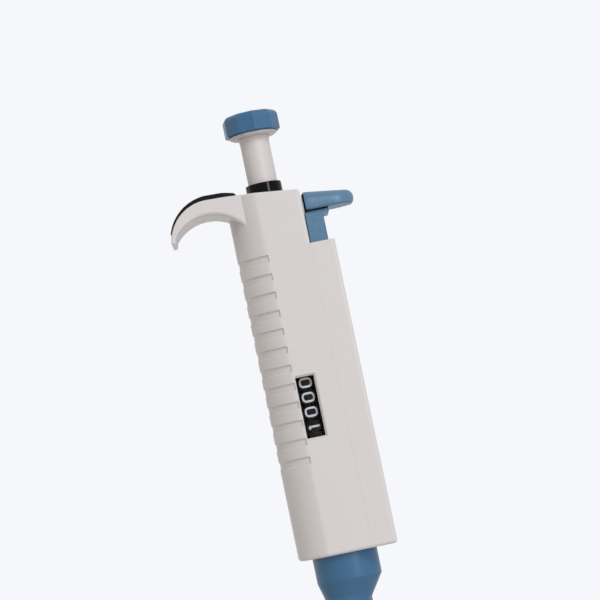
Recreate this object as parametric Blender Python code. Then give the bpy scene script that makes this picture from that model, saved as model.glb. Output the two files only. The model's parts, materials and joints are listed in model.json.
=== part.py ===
"""Adjustable air displacement pipette, 100 to 1000 microlitres.

Metres, +Z up the plunger axis, origin at the lower end of the tip cone. The finger hook is at -X, the tip
ejector at +X and the counter window at -Y.
"""

import math

import bmesh
import bpy
from mathutils import Vector

MM = 0.001
DEGREE = math.pi / 180

# Clearances
GAP = 0.3 * MM
RUNNING_GAP = 0.25 * MM
SPRING_SEAT = 0.05 * MM
SEAL_PLAY = 0.1 * MM

# Volume setting
FULL_VOLUME = 1000e-9
LEAST_VOLUME = 100e-9
PISTON_RADIUS = 5.0 * MM
BLOWOUT_TRAVEL = 1.5 * MM
PISTON_AREA = math.pi * PISTON_RADIUS**2
FIRST_STOP_TRAVEL = FULL_VOLUME / PISTON_AREA
PRESS_TRAVEL = FIRST_STOP_TRAVEL + BLOWOUT_TRAVEL
NUT_TRAVEL = (FULL_VOLUME - LEAST_VOLUME) / PISTON_AREA
END_GAP = 0.5 * MM

# Casing walls round the counter's drums
DRUM_RADIUS = 8.0 * MM
FRAME_WALL = 0.9 * MM
FRAME_PLAY = 0.2 * MM
SHELL_WALL = 1.5 * MM
RIGHT_WALL = 1.4 * MM

# Handle, outside
BODY_BOTTOM = 98.0 * MM
STEP_HEIGHT = 92.7 * MM
TOP_HEIGHT = 111.1 * MM
BODY_LEFT = 12.2 * MM
HALF_DEPTH = DRUM_RADIUS + 2 * GAP + FRAME_WALL + SHELL_WALL
SHELL_RIGHT = DRUM_RADIUS + 2 * GAP + FRAME_PLAY + RIGHT_WALL
COVER_DEPTH = 7.3 * MM
TOP_SLOPE = 6.4 * DEGREE
SLOPE_START_X = -5.6 * MM
SHELL_CORNER = 1.0 * MM
SHELL_SHARP_CORNER = 0.2 * MM
CAVITY_CORNER = 0.5 * MM
COVER_CORNER = 1.6 * MM
BOTTOM_BEVEL = 0.8 * MM
TOP_WALL = 5.2 * MM
BOTTOM_WALL = 2.0 * MM
STEP_TOP = BODY_BOTTOM + STEP_HEIGHT
SHELL_TOP = BODY_BOTTOM + TOP_HEIGHT
CAVITY_TOP = SHELL_TOP - TOP_WALL
COVER_LEFT = SHELL_RIGHT + GAP
COVER_RIGHT = COVER_LEFT + COVER_DEPTH

# Grip grooves
GROOVE_COUNT = 12
GROOVE_PITCH = 5.58 * MM
GROOVE_HEIGHT = 2.15 * MM
GROOVE_DROP = 19.1 * MM
GROOVE_END_X = -3.2 * MM
GROOVE_SIDE_DEPTH = 1.0 * MM
GROOVE_NOSE_DEPTH = 0.25 * MM

# Finger hook
HOOK_HALF_DEPTH = 9.0 * MM
HOOK_TOP_RISE = 1.0 * MM
HOOK_OUTER_RADIUS = 12.5 * MM
HOOK_ARC_X = -18.6 * MM
HOOK_INNER_RADIUS = 13.1 * MM
HOOK_INNER_X = -19.3 * MM
HOOK_INNER_DROP = 16.5 * MM
HOOK_TIP_ANGLE = 176 * DEGREE
HOOK_ROOT_X = -4.0 * MM
HOOK_ROOT_DROP = 10.0 * MM
HOOK_FOOT_RUN = 1.5 * MM
HOOK_FOOT_RISE = 0.2 * MM
HOOK_FALL_X = -12.9 * MM
HOOK_FALL = 0.15 * MM
HOOK_TIP_THICKNESS = 2.6 * MM
HOOK_TIP_DROP = 1.2 * MM
HOOK_END_ANGLE = 34 * DEGREE
PAD_THICKNESS = 0.95 * MM
PAD_TIP_THICKNESS = 0.35 * MM
PAD_TIP_ANGLE = 160 * DEGREE
PAD_END_X = -8.8 * MM
PAD_HALF_DEPTH = 8.4 * MM
PAD_END_RUN = 2.2 * MM
PAD_END_FALL = 0.25 * MM
PAD_END_EDGE = 0.05 * MM
HOOK_TOP = SHELL_TOP + HOOK_TOP_RISE
HOOK_ARC_Z = HOOK_TOP - HOOK_OUTER_RADIUS
HOOK_INNER_Z = SHELL_TOP - HOOK_INNER_DROP

# Counter
FRAME_WALL_LEFT = 1.5 * MM
FRAME_WALL_RIGHT = 3.0 * MM
WHEEL_COUNT = 4
WHEEL_PITCH = 4.43 * MM
RIM_WIDTH = 3.1 * MM
WHEEL_BORE = 4.0 * MM
WINDOW_HEIGHT = 18.4 * MM
WINDOW_WIDTH = 5.3 * MM
WINDOW_RISE = 44.9 * MM
WINDOW_BEVEL = 0.6 * MM
COUNTER_RISE = 0.6 * MM
LENS_THICKNESS = 0.7 * MM
PLATE_THICKNESS = 2.2 * MM
WINDOW_CENTRE = BODY_BOTTOM + WINDOW_RISE
COUNTER_CENTRE = WINDOW_CENTRE + COUNTER_RISE
TOP_WHEEL = COUNTER_CENTRE + (WHEEL_COUNT - 1) / 2 * WHEEL_PITCH
BOTTOM_WHEEL = COUNTER_CENTRE - (WHEEL_COUNT - 1) / 2 * WHEEL_PITCH
LOWER_PLATE_TOP = BOTTOM_WHEEL - RIM_WIDTH / 2 - GAP
UPPER_PLATE_BOTTOM = TOP_WHEEL + RIM_WIDTH / 2 + GAP
LOWER_PLATE_BOTTOM = LOWER_PLATE_TOP - PLATE_THICKNESS
UPPER_PLATE_TOP = UPPER_PLATE_BOTTOM + PLATE_THICKNESS

# Transfer gearing
RING_STEP = 1.2 * MM
RING_TEETH = 20
PINION_TEETH = 6
TOOTH_MODULE = 2 * (DRUM_RADIUS - RING_STEP) / RING_TEETH
TOOTH_TIP_WIDTH = 0.735 * TOOTH_MODULE
TOOTH_ROOT_WIDTH = 1.25 * TOOTH_MODULE
RING_ADDENDUM = 0.66 * TOOTH_MODULE
PINION_ADDENDUM = 0.735 * TOOTH_MODULE
DEDENDUM = 1.1 * TOOTH_MODULE
PINION_WIDTH = 0.75 * MM
PINION_SHAFT_RADIUS = 0.5 * MM
SHAFT_EAR_RADIUS = 1.3 * MM
PINION_ANGLE = 48 * DEGREE
RING_PITCH_RADIUS = TOOTH_MODULE * RING_TEETH / 2
PINION_PITCH_RADIUS = TOOTH_MODULE * PINION_TEETH / 2
PINION_DISTANCE = RING_PITCH_RADIUS + PINION_PITCH_RADIUS
PINION_X = PINION_DISTANCE * math.cos(PINION_ANGLE)
PINION_Y = PINION_DISTANCE * math.sin(PINION_ANGLE)

# Spindle, nut and rod
ROD_RADIUS = 2.1 * MM
ROD_SIDES = 6
SPINDLE_RADIUS = WHEEL_BORE - GAP
SPINDLE_PIVOT_RADIUS = SPINDLE_RADIUS - 0.8 * MM
SPINDLE_BORE = ROD_RADIUS + GAP
DRAG_RING_WIRE = 0.5 * MM
NUT_THREAD_LENGTH = 5.0 * MM
NUT_CUP_DEPTH = 11.0 * MM
NUT_STEP = 1.0 * MM
NUT_RADIUS = DRUM_RADIUS - NUT_STEP
NUT_EAR_REACH = 1.0 * MM
NUT_EAR_WIDTH = 2.0 * MM
NUT_EAR_ROOT = 0.6 * MM
BLOWOUT_WIRE = 0.7 * MM
BLOWOUT_TURNS = 5
GUIDE_WALL = 1.0 * MM
SLOT_FOOT = 0.5 * MM
FLANGE_RADIUS = 5.2 * MM
FLANGE_THICKNESS = 2.0 * MM
NUT_BOTTOM = UPPER_PLATE_TOP + 2 * DRAG_RING_WIRE + 2 * GAP
NUT_FLOOR = NUT_BOTTOM + NUT_THREAD_LENGTH
SPINDLE_TOP = NUT_FLOOR + NUT_TRAVEL
FLANGE_BOTTOM = SPINDLE_TOP + END_GAP + PRESS_TRAVEL
FLANGE_TOP = FLANGE_BOTTOM + FLANGE_THICKNESS
NUT_CUP_RADIUS = FLANGE_RADIUS + GAP
GUIDE_BORE = NUT_RADIUS + GAP
GUIDE_RADIUS = GUIDE_BORE + GUIDE_WALL

# Plunger
STEM_RADIUS = 4.4 * MM
STEM_FLARE = 0.35 * MM
FLARE_LENGTH = 1.6 * MM
STEM_BORE = ROD_RADIUS + GAP
COLLAR_RADIUS = 5.5 * MM
COLLAR_RISE = 3.1 * MM
COLLAR_SEAT = 3.0 * MM
COLLAR_EDGE = 0.25 * MM
GUIDE_BUSH_RADIUS = 7.6 * MM
PRESS_SPARE = 0.3 * MM
DISC_RADIUS = 7.8 * MM
DISC_THICKNESS = 0.8 * MM
DISC_EDGE = 0.3 * MM
BUTTON_RADIUS = 8.4 * MM
BUTTON_HEIGHT = 6.2 * MM
BUTTON_EDGE = 1.1 * MM
BUTTON_EDGE_STEPS = 3
BUTTON_FOOT = 0.3 * MM
BUTTON_SIDES = 10
BUTTON_TURN = 7.3 * DEGREE
BUTTON_SOCKET_DEPTH = 3.0 * MM
COLLAR_TOP = SHELL_TOP + COLLAR_RISE
COLLAR_BOTTOM = SHELL_TOP - COLLAR_SEAT
DISC_BOTTOM = COLLAR_TOP + PRESS_TRAVEL + PRESS_SPARE
BUTTON_BOTTOM = DISC_BOTTOM + DISC_THICKNESS + GAP

# Piston and lower part
TIP_END_RADIUS = 3.1 * MM
TIP_TOP_RADIUS = 3.75 * MM
TIP_LENGTH = 22.0 * MM
SHANK_RADIUS = 5.4 * MM
AIR_BORE = 0.8 * MM
CYLINDER_BOTTOM = 40.0 * MM
CYLINDER_RADIUS = 5.9 * MM
CYLINDER_NECK_RADIUS = 6.2 * MM
SPIGOT_LENGTH = 5.0 * MM
CYLINDER_BORE = PISTON_RADIUS + RUNNING_GAP
NOSE_LENGTH = 40.2 * MM
NOSE_BORE = CYLINDER_NECK_RADIUS + GAP
NOSE_WALL = 0.8 * MM
NOSE_FLANGE = 2.8 * MM
NECK_LENGTH = 8.0 * MM
SEAL_WIRE = 0.5 * MM
SHANK_LENGTH = 4.0 * MM
ROD_REACH = 2.0 * MM
RETAINER_HEIGHT = 2.6 * MM
HEAD_THICKNESS = 2.5 * MM
RETURN_WIRE = 0.9 * MM
RETURN_TURNS = 7
NOSE_TOP = LOWER_PLATE_BOTTOM - GAP
NOSE_BOTTOM = NOSE_TOP - NOSE_LENGTH
NOSE_RADIUS = NOSE_BORE + NOSE_WALL
CYLINDER_TOP = NOSE_BOTTOM + NECK_LENGTH
CHAMBER_FLOOR = CYLINDER_BOTTOM + SPIGOT_LENGTH
PISTON_BOTTOM = CHAMBER_FLOOR + END_GAP + PRESS_TRAVEL
ROD_BOTTOM = LOWER_PLATE_BOTTOM - ROD_REACH
HEAD_TOP = ROD_BOTTOM - GAP
HEAD_BOTTOM = HEAD_TOP - HEAD_THICKNESS
PISTON_TOP = HEAD_BOTTOM - GAP
SEAL_BOTTOM = CYLINDER_TOP + GAP
RETAINER_BOTTOM = SEAL_BOTTOM + 2 * SEAL_WIRE + GAP
RETAINER_TOP = RETAINER_BOTTOM + RETAINER_HEIGHT

# Tip ejector
EJECT_TRAVEL = 8.0 * MM
POST_THICKNESS = 5.4 * MM
POST_HALF_WIDTH = 4.5 * MM
POST_RISE = 9.7 * MM
POST_DROP = 12.7 * MM
LIP_REACH = 1.9 * MM
LIP_CHAMFER = 0.6 * MM
EJECT_PAD_LENGTH = 15.0 * MM
EJECT_PAD_HALF_DEPTH = 6.0 * MM
EJECT_PAD_HEIGHT = 5.7 * MM
EJECT_PAD_SLOPE = 8.0 * DEGREE
EJECT_PAD_END = 2.4 * MM
EJECT_PAD_CURVE = 7.0 * MM
EJECT_PAD_EDGE = 0.6 * MM
EJECT_PAD_UNDERCUT = 0.9 * MM
EJECT_PAD_NOSE_ANGLE = -20 * DEGREE
EJECT_PAD_NOSE_STEPS = 6
BRACKET_THICKNESS = 0.5 * MM
BRACKET_HALF_DEPTH = 5.2 * MM
BRACKET_TOP_DROP = 1.0 * MM
BAR_THICKNESS = 1.6 * MM
BAR_HALF_WIDTH = 3.5 * MM
BAR_CLEARANCE = 1.2 * MM
SIDE_CUT_SPARE = 8.6 * MM
CHANNEL_HALF_WIDTH = 7.0 * MM
CHANNEL_WALL = 1.5 * MM
LEDGE_DROP = 41.0 * MM
LEDGE_THICKNESS = 2.0 * MM
SLEEVE_WALL = 0.8 * MM
SLEEVE_LEFT = 8.4 * MM
SLEEVE_RIGHT = 11.5 * MM
SLEEVE_PLAY = 0.5 * MM
SLEEVE_HALF_DEPTH = HALF_DEPTH - SHELL_WALL - SLEEVE_PLAY
SLEEVE_SHOULDER_DROP = 7.8 * MM
SLEEVE_NECK_DROP = 12.7 * MM
SLEEVE_NECK_LEFT = 7.05 * MM
SLEEVE_NECK_RIGHT = 8.2 * MM
SLEEVE_NECK_HALF_DEPTH = 7.25 * MM
SLEEVE_DRAFT = 0.1 * MM
SLEEVE_BARREL_RADIUS = 7.05 * MM
SLEEVE_BARREL_DROP = 20.0 * MM
SLEEVE_TAPER_TOP = CYLINDER_BOTTOM
SLEEVE_END_RADIUS = 4.9 * MM
SLEEVE_BOTTOM = 20.5 * MM
SLEEVE_EAR_HEIGHT = 3.5 * MM
EAR_REACH = 2.9 * MM
EJECT_SPRING_RADIUS = 1.1 * MM
EJECT_WIRE = 0.6 * MM
EJECT_TURNS = 9
POST_LEFT = SHELL_RIGHT + GAP
POST_RIGHT = POST_LEFT + POST_THICKNESS
POST_TOP = STEP_TOP + POST_RISE
LIP_HEIGHT = POST_RISE - EJECT_TRAVEL - GAP
POST_BOTTOM = STEP_TOP - POST_DROP
BRACKET_BOTTOM = POST_TOP + GAP
BRACKET_LEFT = SHELL_RIGHT + GAP
EJECT_PAD_BOTTOM = BRACKET_BOTTOM + BRACKET_THICKNESS + GAP
EJECT_PAD_LEFT = BRACKET_LEFT + BRACKET_THICKNESS + GAP
EJECT_PAD_RIGHT = EJECT_PAD_LEFT + EJECT_PAD_LENGTH
BAR_LEFT = SHELL_RIGHT + BAR_CLEARANCE
BAR_RIGHT = BAR_LEFT + BAR_THICKNESS
CHANNEL_RIGHT = COVER_RIGHT - CHANNEL_WALL
CHANNEL_BOTTOM = BODY_BOTTOM + BOTTOM_WALL
CHANNEL_TOP = STEP_TOP - BOTTOM_WALL
EAR_BOTTOM = CHANNEL_BOTTOM + EJECT_TRAVEL + END_GAP
SLEEVE_TOP = EAR_BOTTOM + SLEEVE_EAR_HEIGHT
BAR_BOTTOM = SLEEVE_TOP + GAP
LEDGE_TOP = STEP_TOP - LEDGE_DROP
SHELL_SIDE_CUT_TOP = SLEEVE_TOP + SIDE_CUT_SPARE

# Mesh fineness
ROUND_STEPS = 32
SMALL_STEPS = 20
COIL_STEPS = 10
OVAL_STEPS = 16
CURVE_STEPS = 14
CORNER_STEPS = 4
WIRE_SIDES = 8
EAR_STEPS = 16
SHAFT_STEPS = 12
CUT_OVERRUN = 1.0 * MM
MERGE_DISTANCE = 1e-7
SHARP_EDGE = 30 * DEGREE

# Paints: colour, roughness, metallic
PAINTS = {
    "shell_plastic": ((0.64, 0.62, 0.60), 0.45, 0.0),
    "stem_plastic": ((0.72, 0.70, 0.69), 0.35, 0.0),
    "blue_plastic": ((0.07, 0.18, 0.31), 0.35, 0.0),
    "black_plastic": ((0.012, 0.012, 0.013), 0.40, 0.0),
    "black_rubber": ((0.015, 0.015, 0.015), 0.70, 0.0),
    "clear_lens": ((0.90, 0.92, 0.93), 0.05, 0.0),
    "wheel_plastic": ((0.02, 0.02, 0.022), 0.45, 0.0),
    "grey_plastic": ((0.30, 0.31, 0.32), 0.45, 0.0),
    "steel": ((0.62, 0.62, 0.60), 0.25, 1.0),
    "brass": ((0.70, 0.50, 0.20), 0.30, 1.0),
    "cylinder_plastic": ((0.80, 0.79, 0.74), 0.35, 0.0),
}


def clear_scene():
    """Remove every object that the file opens with."""
    for item in list(bpy.data.objects):
        bpy.data.objects.remove(item, do_unlink=True)


def paint(name):
    """Return the named material, made on first use."""
    material = bpy.data.materials.get(name)
    if material is None:
        colour, roughness, metallic = PAINTS[name]
        material = bpy.data.materials.new(name)
        material.use_nodes = True
        shader = material.node_tree.nodes["Principled BSDF"]
        shader.inputs["Base Color"].default_value = (*colour, 1.0)
        shader.inputs["Roughness"].default_value = roughness
        shader.inputs["Metallic"].default_value = metallic
    return material


def empty(name, location=(0, 0, 0), parent=None):
    """Add an empty that marks a body and the axis it moves on."""
    marker = bpy.data.objects.new(name, None)
    marker.location = location
    marker.parent = parent
    bpy.context.scene.collection.objects.link(marker)
    return marker


def add_object(name, mesh, paint_name, parent, location=(0, 0, 0)):
    """Link a bmesh as a closed, outward-facing object under its body's empty."""
    bmesh.ops.recalc_face_normals(mesh, faces=mesh.faces)
    data = bpy.data.meshes.new(name)
    mesh.to_mesh(data)
    mesh.free()
    data.shade_smooth()
    data.set_sharp_from_angle(angle=SHARP_EDGE)
    data.materials.append(paint(paint_name))
    piece = bpy.data.objects.new(name, data)
    piece.location = location
    piece.parent = parent
    bpy.context.scene.collection.objects.link(piece)
    return piece


def combine(piece, tool, operation):
    """Apply one exact Boolean to a piece and keep its tool as a hidden wire guide."""
    tool.hide_render = True
    tool.display_type = "WIRE"
    modifier = piece.modifiers.new(f"{operation.lower()}_{tool.name}", "BOOLEAN")
    modifier.operation = operation
    modifier.solver = "EXACT"
    modifier.object = tool


def turned(profile, steps=ROUND_STEPS):
    """Spin (radius, height) points about Z; a profile clear of the axis closes on itself."""
    mesh = bmesh.new()
    points = [mesh.verts.new((radius, 0, height)) for radius, height in profile]
    edges = [mesh.edges.new(pair) for pair in zip(points, points[1:])]
    if profile[0][0] > 0:
        edges.append(mesh.edges.new((points[-1], points[0])))
    bmesh.ops.spin(
        mesh, geom=points + edges, cent=(0, 0, 0), axis=(0, 0, 1), angle=2 * math.pi, steps=steps
    )
    bmesh.ops.remove_doubles(mesh, verts=mesh.verts, dist=MERGE_DISTANCE)
    bmesh.ops.dissolve_degenerate(mesh, edges=mesh.edges, dist=MERGE_DISTANCE)
    return mesh


def tube(inner, outer, length, steps=ROUND_STEPS):
    """Make a plain round tube that stands on its origin."""
    return turned([(inner, 0), (outer, 0), (outer, length), (inner, length)], steps)


def rod(radius, length, steps=ROUND_STEPS):
    """Make a plain round bar that stands on its origin."""
    return turned([(0, 0), (radius, 0), (radius, length), (0, length)], steps)


def torus(ring_radius, wire_radius):
    """Make a ring of round section that stands on its origin."""
    wire = [
        (
            ring_radius + wire_radius * math.cos(2 * math.pi * step / WIRE_SIDES),
            wire_radius + wire_radius * math.sin(2 * math.pi * step / WIRE_SIDES),
        )
        for step in range(WIRE_SIDES)
    ]
    return turned(wire, SMALL_STEPS)


def prism(outline, depth, axis="Z"):
    """Extrude a flat outline by depth along +Z, or along +Y for an outline in X and Z."""
    mesh = bmesh.new()
    if axis == "Z":
        corners = [mesh.verts.new((x, y, 0)) for x, y in outline]
        path = Vector((0, 0, depth))
    else:
        corners = [mesh.verts.new((x, -depth / 2, z)) for x, z in outline]
        path = Vector((0, depth, 0))
    base = mesh.faces.new(corners)
    result = bmesh.ops.extrude_face_region(mesh, geom=[base], use_keep_orig=True)
    moved = [item for item in result["geom"] if isinstance(item, bmesh.types.BMVert)]
    bmesh.ops.translate(mesh, verts=moved, vec=path)
    return mesh


def block(left, right, front, back, bottom, top):
    """Make a box from its limits on X, Y and Z."""
    mesh = prism([(left, front), (right, front), (right, back), (left, back)], top - bottom)
    bmesh.ops.translate(mesh, verts=mesh.verts, vec=(0, 0, bottom))
    return mesh


def loft(rings, closed=False):
    """Join rings of equal point counts; a closed loft joins its last ring to its first."""
    mesh = bmesh.new()
    loops = [[mesh.verts.new(point) for point in ring] for ring in rings]
    pairs = list(zip(loops, loops[1:]))
    if closed:
        pairs.append((loops[-1], loops[0]))
    else:
        mesh.faces.new(loops[0])
        mesh.faces.new(loops[-1])
    for lower, upper in pairs:
        for index in range(len(lower)):
            following = (index + 1) % len(lower)
            mesh.faces.new((lower[index], lower[following], upper[following], upper[index]))
    return mesh


def arc(centre_x, centre_y, radius, start, end, steps, radius_y=None):
    """List points on a round or oval arc from one angle to another."""
    tall = radius if radius_y is None else radius_y
    angles = [start + (end - start) * step / steps for step in range(steps + 1)]
    return [(centre_x + radius * math.cos(a), centre_y + tall * math.sin(a)) for a in angles]


def tool(name, mesh, location=(0, 0, 0)):
    """Link a bmesh as a wire guide for a Boolean."""
    guide = add_object(name, mesh, "grey_plastic", None, location)
    guide.hide_render = True
    guide.display_type = "WIRE"
    return guide


def spring(name, radius, wire, bottom, top, turns, parent, x=0.0):
    """Wind a compression spring whose outside just fits between two heights."""
    data = bpy.data.curves.new(name, "CURVE")
    data.dimensions = "3D"
    data.bevel_depth = wire / 2
    data.bevel_resolution = 1
    data.use_fill_caps = True
    spline = data.splines.new("POLY")
    count = turns * COIL_STEPS + 1
    spline.points.add(count - 1)
    for step, point in enumerate(spline.points):
        angle = 2 * math.pi * step / COIL_STEPS
        height = wire / 2 + (top - bottom - wire) * step / (count - 1)
        point.co = (radius * math.cos(angle), radius * math.sin(angle), height, 1)
    data.materials.append(paint("steel"))
    coil = bpy.data.objects.new(name, data)
    coil.location = (x, 0, bottom)
    coil.parent = parent
    bpy.context.scene.collection.objects.link(coil)
    return coil


def shell_outline(inset, right, corner):
    """Outline the handle's D section: an oval left half, flat sides and a flat right face."""
    wide = BODY_LEFT - inset
    deep = HALF_DEPTH - inset
    left = arc(0, 0, wide, 90 * DEGREE, 270 * DEGREE, OVAL_STEPS, deep)
    front = arc(right - corner, corner - deep, corner, -90 * DEGREE, 0, CORNER_STEPS)
    back = arc(right - corner, deep - corner, corner, 0, 90 * DEGREE, CORNER_STEPS)
    return left + front + back


def top_height(x):
    """Give the height of the handle's top face, which slopes down from the hook to the ejector."""
    return SHELL_TOP - max(0.0, x - SLOPE_START_X) * math.tan(TOP_SLOPE)


def shell_body():
    """Loft the outside of the main moulding, with a softened lower edge and a sloping top."""
    sharp = shell_outline(0, SHELL_RIGHT, SHELL_SHARP_CORNER)
    soft = shell_outline(0, SHELL_RIGHT, SHELL_CORNER)
    foot = shell_outline(BOTTOM_BEVEL, SHELL_RIGHT, SHELL_SHARP_CORNER)
    rings = [
        [(x, y, BODY_BOTTOM) for x, y in foot],
        [(x, y, BODY_BOTTOM + BOTTOM_BEVEL) for x, y in sharp],
        [(x, y, STEP_TOP - GAP) for x, y in sharp],
        [(x, y, STEP_TOP + GAP) for x, y in soft],
        [(x, y, top_height(x)) for x, y in soft],
    ]
    mesh = loft(rings)
    bmesh.ops.triangulate(mesh, faces=[face for face in mesh.faces if len(face.verts) > 4])
    return mesh


def hook_outline():
    """Outline the finger hook in X and Z, from its root over the top to the tip and back."""
    outer = arc(HOOK_ARC_X, HOOK_ARC_Z, HOOK_OUTER_RADIUS, 90 * DEGREE, HOOK_TIP_ANGLE, CURVE_STEPS)
    tip_x, tip_z = outer[-1]
    inner_start = math.acos((tip_x + HOOK_TIP_THICKNESS - HOOK_INNER_X) / HOOK_INNER_RADIUS)
    inner = arc(
        HOOK_INNER_X, HOOK_INNER_Z, HOOK_INNER_RADIUS, inner_start, HOOK_END_ANGLE, CURVE_STEPS
    )
    nose = (tip_x + HOOK_TIP_DROP, tip_z - HOOK_TIP_DROP)
    root = [
        (HOOK_ROOT_X, SHELL_TOP - HOOK_ROOT_DROP),
        (HOOK_ROOT_X, SHELL_TOP - GAP),
        (SLOPE_START_X - HOOK_FOOT_RUN, SHELL_TOP + HOOK_FOOT_RISE),
        (HOOK_FALL_X, HOOK_TOP - HOOK_FALL),
    ]
    return outer + [nose] + inner + root


def make_handle_shell(parent):
    """Build the main moulding: D section, finger hook, grip grooves, window and bores."""
    shell = add_object("handle_shell", shell_body(), "shell_plastic", parent)

    hook = tool("hook_form", prism(hook_outline(), 2 * HOOK_HALF_DEPTH, "Y"))
    combine(shell, hook, "UNION")

    cavity_bottom = BODY_BOTTOM + BOTTOM_WALL
    outline = shell_outline(SHELL_WALL, SHELL_RIGHT - RIGHT_WALL, CAVITY_CORNER)
    cavity = prism(outline, CAVITY_TOP - cavity_bottom)
    combine(shell, tool("shell_cavity", cavity, (0, 0, cavity_bottom)), "DIFFERENCE")

    combine(shell, tool("shell_mouth", mouth_cutter(cavity_bottom)), "DIFFERENCE")

    side = block(
        SHELL_RIGHT - RIGHT_WALL - GAP,
        SHELL_RIGHT + CUT_OVERRUN,
        -CHANNEL_HALF_WIDTH,
        CHANNEL_HALF_WIDTH,
        BODY_BOTTOM + BOTTOM_WALL - GAP,
        SHELL_SIDE_CUT_TOP,
    )
    combine(shell, tool("shell_side_opening", side), "DIFFERENCE")

    bore = turned(
        [
            (0, CAVITY_TOP - CUT_OVERRUN),
            (STEM_RADIUS + GAP, CAVITY_TOP - CUT_OVERRUN),
            (STEM_RADIUS + GAP, COLLAR_BOTTOM - GAP),
            (COLLAR_RADIUS + GAP, COLLAR_BOTTOM - GAP),
            (COLLAR_RADIUS + GAP, SHELL_TOP + CUT_OVERRUN),
            (0, SHELL_TOP + CUT_OVERRUN),
        ]
    )
    combine(shell, tool("shell_top_bore", bore), "DIFFERENCE")
    combine(shell, tool("grip_grooves", groove_cutters()), "DIFFERENCE")
    combine(shell, tool("window_opening", window_cutter()), "DIFFERENCE")
    return shell


def mouth_cutter(floor):
    """Make the cutter of the sleeve's way out, through the bottom wall up to its floor."""
    outline = sleeve_outline(SLEEVE_LEFT, SLEEVE_RIGHT, SLEEVE_HALF_DEPTH, GAP)
    levels = (BODY_BOTTOM - CUT_OVERRUN, floor + CUT_OVERRUN)
    return loft([[(x, y, z) for x, y in outline] for z in levels])


def groove_cutters():
    """Join the prisms that cut the grip grooves round the left of the handle."""
    start = math.acos(GROOVE_END_X / (BODY_LEFT - GROOVE_NOSE_DEPTH))
    inner = arc(
        0,
        0,
        BODY_LEFT - GROOVE_NOSE_DEPTH,
        start,
        2 * math.pi - start,
        OVAL_STEPS,
        HALF_DEPTH - GROOVE_SIDE_DEPTH,
    )
    far = [
        (GROOVE_END_X, -HALF_DEPTH - CUT_OVERRUN),
        (-BODY_LEFT - CUT_OVERRUN, -HALF_DEPTH - CUT_OVERRUN),
        (-BODY_LEFT - CUT_OVERRUN, HALF_DEPTH + CUT_OVERRUN),
        (GROOVE_END_X, HALF_DEPTH + CUT_OVERRUN),
    ]
    joined = bmesh.new()
    for index in range(GROOVE_COUNT):
        top = SHELL_TOP - GROOVE_DROP - index * GROOVE_PITCH
        band = prism(inner + far, GROOVE_HEIGHT)
        bmesh.ops.translate(band, verts=band.verts, vec=(0, 0, top - GROOVE_HEIGHT))
        part = bpy.data.meshes.new("groove")
        band.to_mesh(part)
        band.free()
        joined.from_mesh(part)
        bpy.data.meshes.remove(part)
    return joined


def window_cutter():
    """Make the window's cutter, straight through the wall and bevelled at the face."""

    def ring(y, grow):
        half = WINDOW_WIDTH / 2 + grow
        low = WINDOW_CENTRE - WINDOW_HEIGHT / 2 - grow
        high = WINDOW_CENTRE + WINDOW_HEIGHT / 2 + grow
        return [(-half, y, low), (half, y, low), (half, y, high), (-half, y, high)]

    face = -HALF_DEPTH
    return loft(
        [
            ring(face + SHELL_WALL + CUT_OVERRUN, 0),
            ring(face + WINDOW_BEVEL, 0),
            ring(face - CUT_OVERRUN, WINDOW_BEVEL + CUT_OVERRUN),
        ]
    )


def make_ejector_cover(parent):
    """Build the right-hand moulding, a channel that holds the ejector's post, bar and spring."""
    corner = COVER_CORNER
    outline = [(COVER_LEFT, HALF_DEPTH), (COVER_LEFT, -HALF_DEPTH)]
    outline += arc(COVER_RIGHT - corner, corner - HALF_DEPTH, corner, -90 * DEGREE, 0, CORNER_STEPS)
    outline += arc(COVER_RIGHT - corner, HALF_DEPTH - corner, corner, 0, 90 * DEGREE, CORNER_STEPS)
    cover = add_object(
        "ejector_cover", prism(outline, STEP_HEIGHT), "shell_plastic", parent, (0, 0, BODY_BOTTOM)
    )
    wide = CHANNEL_HALF_WIDTH
    ledge_bottom = LEDGE_TOP - LEDGE_THICKNESS
    open_left = COVER_LEFT - CUT_OVERRUN
    slot = POST_HALF_WIDTH + GAP
    cuts = {
        "channel_below_ledge": (open_left, CHANNEL_RIGHT, -wide, wide, CHANNEL_BOTTOM, ledge_bottom),
        "channel_above_ledge": (open_left, CHANNEL_RIGHT, -wide, wide, LEDGE_TOP, CHANNEL_TOP),
        "bar_way": (
            open_left,
            BAR_RIGHT + GAP,
            -BAR_HALF_WIDTH - GAP,
            BAR_HALF_WIDTH + GAP,
            ledge_bottom - CUT_OVERRUN,
            LEDGE_TOP + CUT_OVERRUN,
        ),
        "post_slot": (
            open_left,
            POST_RIGHT + GAP,
            -slot,
            slot,
            CHANNEL_TOP - CUT_OVERRUN,
            STEP_TOP + CUT_OVERRUN,
        ),
    }
    for name, limits in cuts.items():
        combine(cover, tool(name, block(*limits)), "DIFFERENCE")
    combine(cover, tool("cover_mouth", mouth_cutter(CHANNEL_BOTTOM)), "DIFFERENCE")
    return cover


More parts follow.
